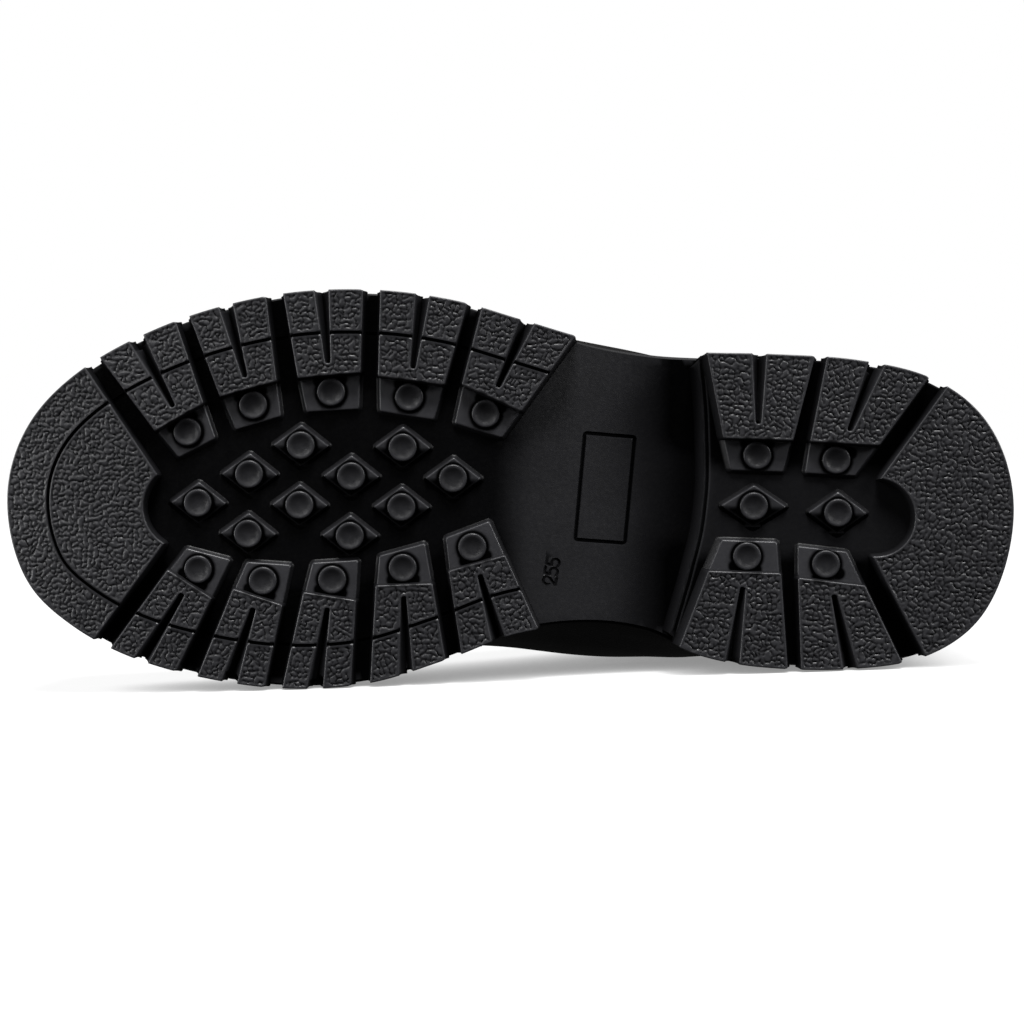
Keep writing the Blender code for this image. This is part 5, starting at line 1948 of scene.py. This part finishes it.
@dataclass
class Upper:
    """The leather upper: shell, panels, toe cap, counter, collar, tongue and their seams.

    quarter_seam holds levels and stations; the back strip's halves are angles at its two levels.
    """

    palette: Palette
    cap_line: float = 236.0
    cap_sweep: float = 16.0
    counter_front: float = 74.0
    counter_low: float = 40.0
    counter_top: float = 92.0
    quarter_seam: tuple = (
        (0.0, 158.0), (2.0, 160.0), (3.6, 166.0), (5.0, 180.0), (5.9, 198.0), (6.3, 216.5))
    quarter_levels: tuple = (0.02, 10.98)
    strip_levels: tuple = (4.6, 10.96)
    strip_halves: tuple = (0.42, 0.32)
    seam_insets: tuple = (2.2, 4.6)
    stitch_pitch: float = 2.7
    throat_top: float = 106.5
    throat_turn: float = 9.5
    throat_bend: float = 16.0
    tongue_levels: tuple = (6.2, 12.85)
    tongue_halves: tuple = (21.0, 30.0)
    tongue_thick: float = 5.0
    seams: Seats = field(default_factory=Seats)

    def front(self, level: Array) -> Array:
        """Angle of the shell's front edge: the ridge below the throat, else the throat's edge."""
        half = FORM.throat_half(np.maximum(level, FORM.throat_level))
        return np.where(level > FORM.throat_level, FORM.front_angle(level, half), pi)

    def seam(self, level: Array, angle: Array, lift: float) -> None:
        """Sew along a line of the surface."""
        self.seams.path(FORM.surface(level, angle, lift), FORM.normal(level, angle))

    def shell(self) -> None:
        """The hollow upper with its lining, open at the throat and the collar."""
        bend = np.linspace(FORM.throat_level, FORM.throat_full, 15)
        levels = np.unique(np.concatenate([np.linspace(0, FORM.collar[0], 101), bend]))
        turn = self.front(levels)[:, None] * np.linspace(-1, 1, 261)
        level = np.broadcast_to(levels[:, None], turn.shape)
        inner = FORM.surface(level, turn, -FORM.wall)
        inner[0] = FORM.low_edge(turn[0], -FORM.wall)
        skin = Skin()
        rows, cols = turn.shape
        a, b = skin.grid(FORM.surface(level, turn, 0.0)), skin.grid(inner, kind=1)
        for row in (0, rows - 1):
            k = np.arange(cols - 1) + row * cols
            skin.face(np.stack([a + k, a + k + 1, b + k + 1, b + k], axis=1))
        open_rows = np.flatnonzero(levels[:-1] >= FORM.throat_level)
        for col in (0, cols - 1):
            k = open_rows * cols + col
            skin.face(np.stack([a + k, a + k + cols, b + k + cols, b + k], axis=1))
        finishes = [self.palette.leather, self.palette.lining]
        dress(skin.build("upper_shell", finishes, sharp=1.0), "leather", "upper")

    def limit(self, angle: Array, beyond: Callable) -> Array:
        """Highest level, for each angle, at which a panel still reaches.

        Args:
            angle: Angles of the panel's columns.
            beyond: Says which points of the form lie past the panel's edge.

        Returns:
            The levels.
        """
        low, high = np.zeros(np.shape(angle)), np.full(np.shape(angle), 10.5)
        for _ in range(26):
            mid = (low + high) / 2
            past = beyond(FORM.bare(mid, angle))
            low, high = np.where(past, low, mid), np.where(past, mid, high)
        return low

    def cap_past(self, points: Array) -> Array:
        """Which points lie behind the toe cap."""
        share = np.clip((points[..., 2] - 16.0) / 74.0, 0.0, 1.0)
        return points[..., 0] < self.cap_line + self.cap_sweep * (1 - share) ** 1.5

    def counter_past(self, points: Array) -> Array:
        """Which points lie outside the heel counter."""
        turn = np.arcsin(np.clip(points[..., 0] / self.counter_front, 0, 1) ** 1.1)
        return points[..., 2] > self.counter_low + (self.counter_top - self.counter_low) * np.cos(turn)

    def ends(self) -> None:
        """Toe cap and heel counter, from the form's lower edge up, with two seams along each."""
        cap = float(FORM.angle_at(0.0, self.cap_line + self.cap_sweep - 2.5)) + 0.004
        back = float(FORM.angle_at(0.0, self.counter_front))
        rows = (("toe_cap", np.linspace(cap, 2 * pi - cap, 400), self.cap_past, 250.0, 60.0, 1.6),
                ("heel_counter", np.linspace(-back, back, 300), self.counter_past, 200.0, 50.0, 1.8))
        lines = []
        for node, angles, beyond, length, width, step in rows:
            tops = self.limit(angles, beyond)

            def place(s: Array, t: Array, angles: Array = angles, tops: Array = tops) -> tuple[Array, Array]:
                angle = between((angles[0], angles[-1]), s)
                return np.interp(angle, angles, tops) * t, angle

            Cover(place, length, width, 0.4, 1.5, step).build(f"{node}_leather", self.palette.leather, node)
            lines.append((tops[4:-4], angles[4:-4]))
        for inset in self.seam_insets:
            for tops, angles in lines:
                self.seam(np.maximum(tops - inset / 11.5, 0.05), angles, 1.9)

    def quarter_edge(self, level: Array) -> Array:
        """Angle of the quarters' front edge: their seam with the vamp, then the throat's edge.

        Args:
            level: Levels.

        Returns:
            The angles.
        """
        levels, stations = zip(*self.quarter_seam)
        low = FORM.angle_at(level, smooth(levels, stations, level))
        return np.where(level < levels[-1], low, self.front(level))

    def quarters(self) -> None:
        """Quarters with a seam in front."""
        def place(s: Array, t: Array) -> tuple[Array, Array]:
            level = between(self.quarter_levels, s)
            return level, self.quarter_edge(level) * (2 * t - 1)

        Cover(place, 150.0, 420.0, -0.2, 1.2).build("quarter_panels", self.palette.leather)
        levels = np.linspace(0.25, 6.0, 60)
        for inset in self.seam_insets:
            for side in (1, -1):
                self.seam(levels, side * (self.quarter_edge(levels) - inset / 75.0), 1.0)

    def facing(self) -> None:
        """The facing round the throat, with three seams."""
        cover = Cover(lambda s, t: self.around_throat(s, 0.3 + 15.0 * t), 260.0, 16.0, 0.8, 1.0)
        cover.build("eyelet_facing", self.palette.leather)
        s = np.linspace(0.01, 0.99, 300)
        for away in (2.2, 11.2, 13.4):
            self.seam(*self.around_throat(s, away), 1.8)

    def strip(self) -> None:
        """The strip up the back, with a seam along both edges."""
        def place(s: Array, t: Array) -> tuple[Array, Array]:
            return between(self.strip_levels, s), (2 * t - 1) * between(self.strip_halves, s)

        Cover(place, 76.0, 26.0, 0.8, 0.9).build("back_strip", self.palette.leather)
        s = np.linspace(0.03, 0.98, 60)
        for side in (1, -1):
            self.seam(between(self.strip_levels, s), side * (between(self.strip_halves, s) - 0.055), 1.7)

    def around_throat(self, s: Array, away: Array) -> tuple[Array, Array]:
        """Level and angle along a U round the throat, a distance outside its edge.

        Args:
            s: Shares along the U.
            away: Distances outside the edge.

        Returns:
            Levels and angles.
        """
        top, turn, bend = self.throat_top, self.throat_turn, pi * self.throat_bend
        side = top - turn
        along = s * (2 * side + bend)
        on_bend = np.clip((along - side) / bend, 0, 1) * pi
        past = np.maximum(along - side - bend, 0)
        up = np.where(along < side, top - along, turn + past)
        level = np.clip(FORM.ridge_level(up), FORM.throat_level, FORM.collar[0])
        half = FORM.throat_width(level) + away
        return FORM.chart(up - np.sin(on_bend) * half, np.cos(on_bend) * half)

    def collar(self) -> None:
        """The padded collar, sewn into two channels."""
        low, high = FORM.collar
        mid, rows, sides = (low + high) / 2, np.arange(181), 44
        start = float(FORM.front_angle(mid, float(FORM.throat_half(np.array(low))) + 1.5))
        around = np.linspace(start, -start, len(rows))
        base, top = FORM.surface(low, around), FORM.surface(high, around)
        up, out = (top - base) / 2, FORM.normal(mid, around)
        tall = np.linalg.norm(up, axis=1, keepdims=True)
        up = up / tall
        out = unit(out - up * np.sum(out * up, axis=1, keepdims=True))
        size = quarter(np.maximum(np.minimum(rows, rows[::-1]) * 1.4 / 9.0, 0.02))[:, None]
        angles = turns(sides)
        reach_out, reach_up = squarish(angles, 0.75).T
        channel = 1 - 0.13 * np.exp(-(reach_up / 0.1) ** 2) * (np.cos(angles) > -0.2)
        pucker = 1 + 0.02 * np.sin(rows * 1.9)[:, None] * np.sin(angles * 5)
        centre = (base + top) / 2 - out * (FORM.collar_half - FORM.collar_proud)
        loops = (centre[:, None] + up[:, None] * ((tall - 0.45) * size * reach_up * pucker)[..., None]
                 + out[:, None] * (FORM.collar_half * size * reach_out * channel * pucker)[..., None])
        skin = Skin()
        first = skin.grid(loops, (False, True))
        skin.lids(first, len(rows), sides)
        piece = skin.build("padded_collar", [self.palette.soft], sharp=1.3)
        dress(piece, "soft_leather", "collar")
        self.seams.path(centre[6:-6] + out[6:-6] * (FORM.collar_half * 0.87), out[6:-6])

    def tongue(self) -> None:
        """The padded tongue under the throat, thin under the facing."""
        s, t = np.meshgrid(np.linspace(0, 1, 130), np.linspace(-1, 1, 49), indexing="ij")
        level = between(self.tongue_levels, s)
        y = between(self.tongue_halves, s) * (0.58 + 0.42 * quarter((1 - s) / 0.12)) * t
        angle = FORM.front_angle(level, y)
        inside_collar = FORM.collar_half * 1.4 * np.clip((level - 10.3) / 1.0, 0.0, 1.0)
        room = FORM.wall + 2 * FORM.gap + inside_collar
        beside = np.abs(y) - FORM.throat_half(np.maximum(level, FORM.throat_full))
        under = ease((beside + 2.5) / 3.0) * (level < 11.3)
        edge = np.minimum(1 - np.abs(t), np.minimum(s, 1 - s) * 5.0)
        thin = 2.4 * (1 - quarter(edge / 0.16))
        quilt = 0.9 * np.exp(-((np.mod(s * 11.0, 1.0) - 0.5) / 0.07) ** 2) * (np.abs(y) < 13) * (s > 0.1)
        top = room + thin + 1.9 * under + quilt
        bottom = np.maximum(room + self.tongue_thick - thin, top + 0.02)
        skin = Skin()
        skin.grid(FORM.surface(level, angle, -top))
        skin.grid(FORM.surface(level, angle, -bottom), kind=1)
        piece = skin.build("padded_tongue", [self.palette.soft, self.palette.lining], weld=0.06)
        dress(piece, "soft_leather", "tongue")

    def build(self) -> None:
        """Make the upper's pieces, then sew all their seams."""
        self.shell()
        self.ends()
        self.quarters()
        self.facing()
        self.strip()
        self.collar()
        self.tongue()
        stitch = thread("stitch", 2.15, 0.3, 0.15)
        dress(Copier(Rows.PATH).make("seam_stitches", self.seams, stitch, self.palette.yarn,
                                     Pitch=self.stitch_pitch * MM, Uneven=0.08), "lace")


# Trim ----------------------------------------
@dataclass
class Trim:
    """Eyelets, lace and pull loop.

    The lace's heights are distances from the form; each table holds shares along a crossing
    and the height there.
    """

    palette: Palette
    pairs: int = 6
    first: float = 9.0
    pitch: float = 17.6
    inset: float = 8.5
    ring: float = 4.3
    bore: float = 2.3
    seat: float = 1.75
    lace_half: tuple = (1.9, 1.15)
    lace_over: float = 3.5
    lace_under: float = -3.9
    lace_cross: float = 1.25
    first_crossing: tuple = ((0.16, -3.9), (0.3, -2.2), (0.5, -0.9), (0.7, -2.2), (0.84, -3.9))
    crossing: tuple = ((0.16, 3.2), (0.3, 2.6), (0.5, 1.9), (0.7, -0.6), (0.84, -3.9))
    bar: tuple = ((0.8, 3.5), (0.3, 2.9), (-0.3, 2.9), (-0.8, 3.5))
    loop_width: float = 18.0
    loop_thick: float = 1.6
    loop_rise: float = 11.0
    loop_leg: float = 30.0

    def hole(self, pair: float, side: int) -> tuple[float, float]:
        """Distance up the ridge and y of an eyelet."""
        up = self.first + self.pitch * pair
        return up, side * (float(FORM.throat_half(FORM.ridge_level(np.array(up)))) + self.inset)

    def eyelets(self) -> None:
        """Rolled rings on both facings."""
        seats = Seats()
        for pair in range(self.pairs):
            for side in (1, -1):
                level, angle = FORM.chart(*self.hole(pair, side))
                seats.seat(FORM.surface(level, angle, self.seat), FORM.normal(level, angle), (0.0, 1.0, 0.3))
        middle, roll = (self.ring + self.bore) / 2, (self.ring - self.bore) / 2
        dome = [(middle + roll * np.cos(a), 0.85 * np.sin(a)) for a in np.linspace(-0.1, pi + 0.5, 9)]
        foot = (self.ring - 0.1, -0.4)
        inside_bore = [(self.bore - 0.05, -1.2), (self.bore + 0.25, -1.2), (self.bore + 0.35, -0.5)]
        shape = lathe("eyelet", np.array([foot, *dome, *inside_bore, foot]), 28)
        piece = Copier(Rows.SEATS).make("eyelet_rings", seats, shape, self.palette.metal)
        names = [f"eyelet_{word}_{pair + 1}" for word in ("outer", "inner") for pair in range(self.pairs)]
        dress(piece, "eyelet_metal", *names)

    def half_lace(self, way: int) -> list[tuple]:
        """Half of the lace, from a lowest eyelet up: distances up the ridge, y and heights.

        Args:
            way: 1 for the outer side's lowest eyelet, -1 for the inner side's.

        Returns:
            The route.
        """
        route = [(*self.hole(0, way), self.lace_over * 0.6), (*self.hole(0, way), self.lace_under)]
        for pair in range(self.pairs - 1):
            side = way * (-1) ** pair
            start, stop = np.array(self.hole(pair, side)), np.array(self.hole(pair + 1, -side))
            for share, height in self.crossing if pair else self.first_crossing:
                height += way * self.lace_cross * (share == 0.5)
                route.append((*between((start, stop), share), height))
            route.append((*stop, self.lace_under))
            if pair < self.pairs - 2:
                route.append((*stop, self.lace_over * 0.8))
        return [*route, (*stop, 1.9)]

    def lace(self) -> None:
        """One lace: a bar over the lowest eyelets, then crossings up to the top pair."""
        up, y = self.hole(0, 1)
        bar = [(up - 1.5, y * share, height) for share, height in self.bar]
        route = np.array(self.half_lace(1)[::-1] + bar + self.half_lace(-1))
        level, angle = FORM.chart(route[:, 0], route[:, 1])
        rough = FORM.surface(level, angle, route[:, 2])
        steps = np.linalg.norm(np.diff(rough, axis=0), axis=1)
        along = np.concatenate([[0.0], np.cumsum(steps ** 0.7)])
        at = np.linspace(0, along[-1], 2600)
        line = resample(np.stack([smooth(along, column, at) for column in rough.T], axis=1), 0.75)
        for _ in range(3):
            line[1:-1] = (line[:-2] + 2 * line[1:-1] + line[2:]) / 4
        far = np.linalg.norm(line[:, None] - rough, axis=2)
        weight = 1 / (far + 0.5) ** 2
        skin = Skin()
        tube(skin, line, unit(weight @ FORM.normal(level, angle)), oval(*self.lace_half, 12, 0.85))
        names = [f"lace_crossing_{i + 1}" for i in range(self.pairs - 1)]
        dress(skin.build("lace", [self.palette.lace]), "lace", "lace_bar", *names)

    def pull_loop(self) -> None:
        """A webbing loop over the back of the collar."""
        back_low, back_high = (FORM.bare(level, 0.0) for level in FORM.collar)
        outside = min(back_low[0], back_high[0]) - FORM.collar_proud - FORM.gap
        collar_wide = 2 * FORM.collar_half - FORM.collar_proud + FORM.gap
        inside_x = max(back_low[0], back_high[0]) + collar_wide + 1.8
        half, centre = (inside_x - outside + self.loop_thick) / 2, (inside_x + outside) / 2
        spring = back_high[2] + self.loop_rise - self.loop_thick / 2 - half
        angles = np.linspace(0, pi, 24)
        arc = np.stack([centre - half * np.cos(angles), spring + half * np.sin(angles)], axis=1)
        foot = spring + self.loop_thick / 2 - self.loop_leg
        band = resample(np.vstack([[centre - half, foot], arc, [centre + half, back_low[2] + 4.0]]), 1.0)
        points = np.column_stack([band[:, 0], np.full(len(band), back_high[1]), band[:, 1]])
        outs = unit(np.cross(np.gradient(points, axis=0), [0.0, 1.0, 0.0]))
        skin = Skin()
        tube(skin, points, outs, oval(self.loop_width / 2, self.loop_thick / 2, 30, 0.35))
        dress(skin.build("webbing_pull_loop", [self.palette.webbing], sharp=1.0), "webbing", "pull_loop")

    def build(self) -> None:
        """Make the trim."""
        self.eyelets()
        self.lace()
        self.pull_loop()


# Studio --------------------------------------
@dataclass
class Studio:
    """Camera square to the tread, soft lights and a pale floor."""

    distance: float = 0.8
    lens: float = 97.9
    aim: tuple = (144.2, -3.6, 0.0)
    roll: float = 1.2
    fill: float = 0.02
    floor_reach: float = 6.0
    floor_tones: tuple = ((0.13, 0.13, 0.13), (0.15, 0.15, 0.15))
    floor_glow: float = 0.92
    contact: float = 0.09
    key: tuple = (88.0, 23.0)
    key_power: float = 4.3
    key_angle: float = 0.36
    light_aim: tuple = (145.0, -3.0, 0.0)
    light_size: float = 0.35
    light_reach: float = 0.9
    lamps: tuple = (
        ("right", 30.0, 24.0, 4.0),
        ("upper_left", 140.0, 40.0, 2.0),
        ("left", 176.0, 12.0, 3.6),
    )

    def camera(self) -> None:
        """Place the camera in front of the tread, its top to the boot's outer side."""
        data = bpy.data.cameras.new("camera")
        data.lens, data.sensor_width = self.lens, 36.0
        data.clip_start, data.clip_end = 0.01, 50.0
        target, back, turn = Vector(STAND.place(self.aim)), Vector(-STAND.up), np.radians(self.roll)
        up = Vector(STAND.y * np.cos(turn) + STAND.x * np.sin(turn))
        right = up.cross(back).normalized()
        spin = Matrix((right, back.cross(right), back)).transposed()
        made = link("camera", data)
        made.matrix_world = Matrix.Translation(target + back * self.distance) @ spin.to_4x4()
        bpy.context.scene.camera = made

    @staticmethod
    def light(data: bpy.types.Light, around: float, rise: float, reach: float = 0.0) -> None:
        """Link a light that shines at the tread.

        Args:
            data: The light.
            around: Its angle round the tread, from the heel's side.
            rise: Its rise from the tread.
            reach: Its distance.
        """
        around, rise = np.radians((around, rise))
        flat = STAND.y * np.sin(around) - STAND.x * np.cos(around)
        way = Vector(flat * np.cos(rise) - STAND.up * np.sin(rise))
        made = link(data.name, data)
        made.location = Vector(STAND.place(Studio.light_aim)) + way * reach
        made.rotation_euler = way.to_track_quat("Z", "Y").to_euler()

    def sky(self, scene: bpy.types.Scene) -> None:
        """White to the camera, and nearly no light on the boot.

        Args:
            scene: Scene that takes it.
        """
        scene.world = bpy.data.worlds.new("studio")
        scene.world.use_nodes = True
        nodes = Nodes(scene.world.node_tree)
        seen = nodes.add("ShaderNodeLightPath").outputs["Is Camera Ray"]
        strength = nodes.add("ShaderNodeMapRange", Value=seen, To_Min=self.fill)
        sky = nodes.tree.nodes["Background"]
        nodes.feed(sky.inputs["Color"], WHITE)
        nodes.feed(sky.inputs["Strength"], strength.outputs[0])

    def floor(self) -> None:
        """A pale floor that glows, with a painted shadow near the boot."""
        mesh = bpy.data.meshes.new("studio_floor")
        corners = np.array([(-1, -1, 0), (1, -1, 0), (1, 1, 0), (-1, 1, 0)]) * self.floor_reach
        mesh.from_pydata(corners, [], [(0, 1, 2, 3)])
        paint = Paint("pale_floor")
        tone = paint.blend(paint.noise(3.0), *self.floor_tones)
        # Painted shadow: the glow fades where the boot is near, over the contact distance.
        near = paint.add("ShaderNodeAmbientOcclusion", samples=24, Distance=self.contact).outputs["AO"]
        glow = paint.math("MULTIPLY", paint.ramp(near, -0.14, 0.36), self.floor_glow)
        mesh.materials.append(paint.set(Base_Color=tone, Roughness=0.8, Emission_Color=WHITE,
                                        Emission_Strength=glow))
        floor = link("studio_floor", mesh)
        floor.visible_diffuse = floor.visible_glossy = False

    def build(self) -> None:
        """Make world, floor and lights."""
        scene = bpy.context.scene
        scene.view_settings.view_transform = "Standard"
        self.sky(scene)
        self.floor()
        for name, around, rise, power in self.lamps:
            lamp = bpy.data.lights.new(name, "AREA")
            lamp.shape, lamp.size, lamp.energy = "DISK", self.light_size, power
            self.light(lamp, around, rise, self.light_reach)
        sun = bpy.data.lights.new("key", "SUN")
        sun.energy, sun.angle = self.key_power, self.key_angle
        self.light(sun, *self.key)


def main() -> None:
    """Build the camera, then every sub-assembly."""
    logging.basicConfig(level=logging.INFO, format="%(message)s")
    studio = Studio()
    studio.camera()
    palette = Palette()
    for part in (Tread(palette), Welt(palette), Upper(palette), Trim(palette)):
        part.build()
    studio.build()
    bpy.context.view_layer.update()


if __name__ == "__main__":
    main()
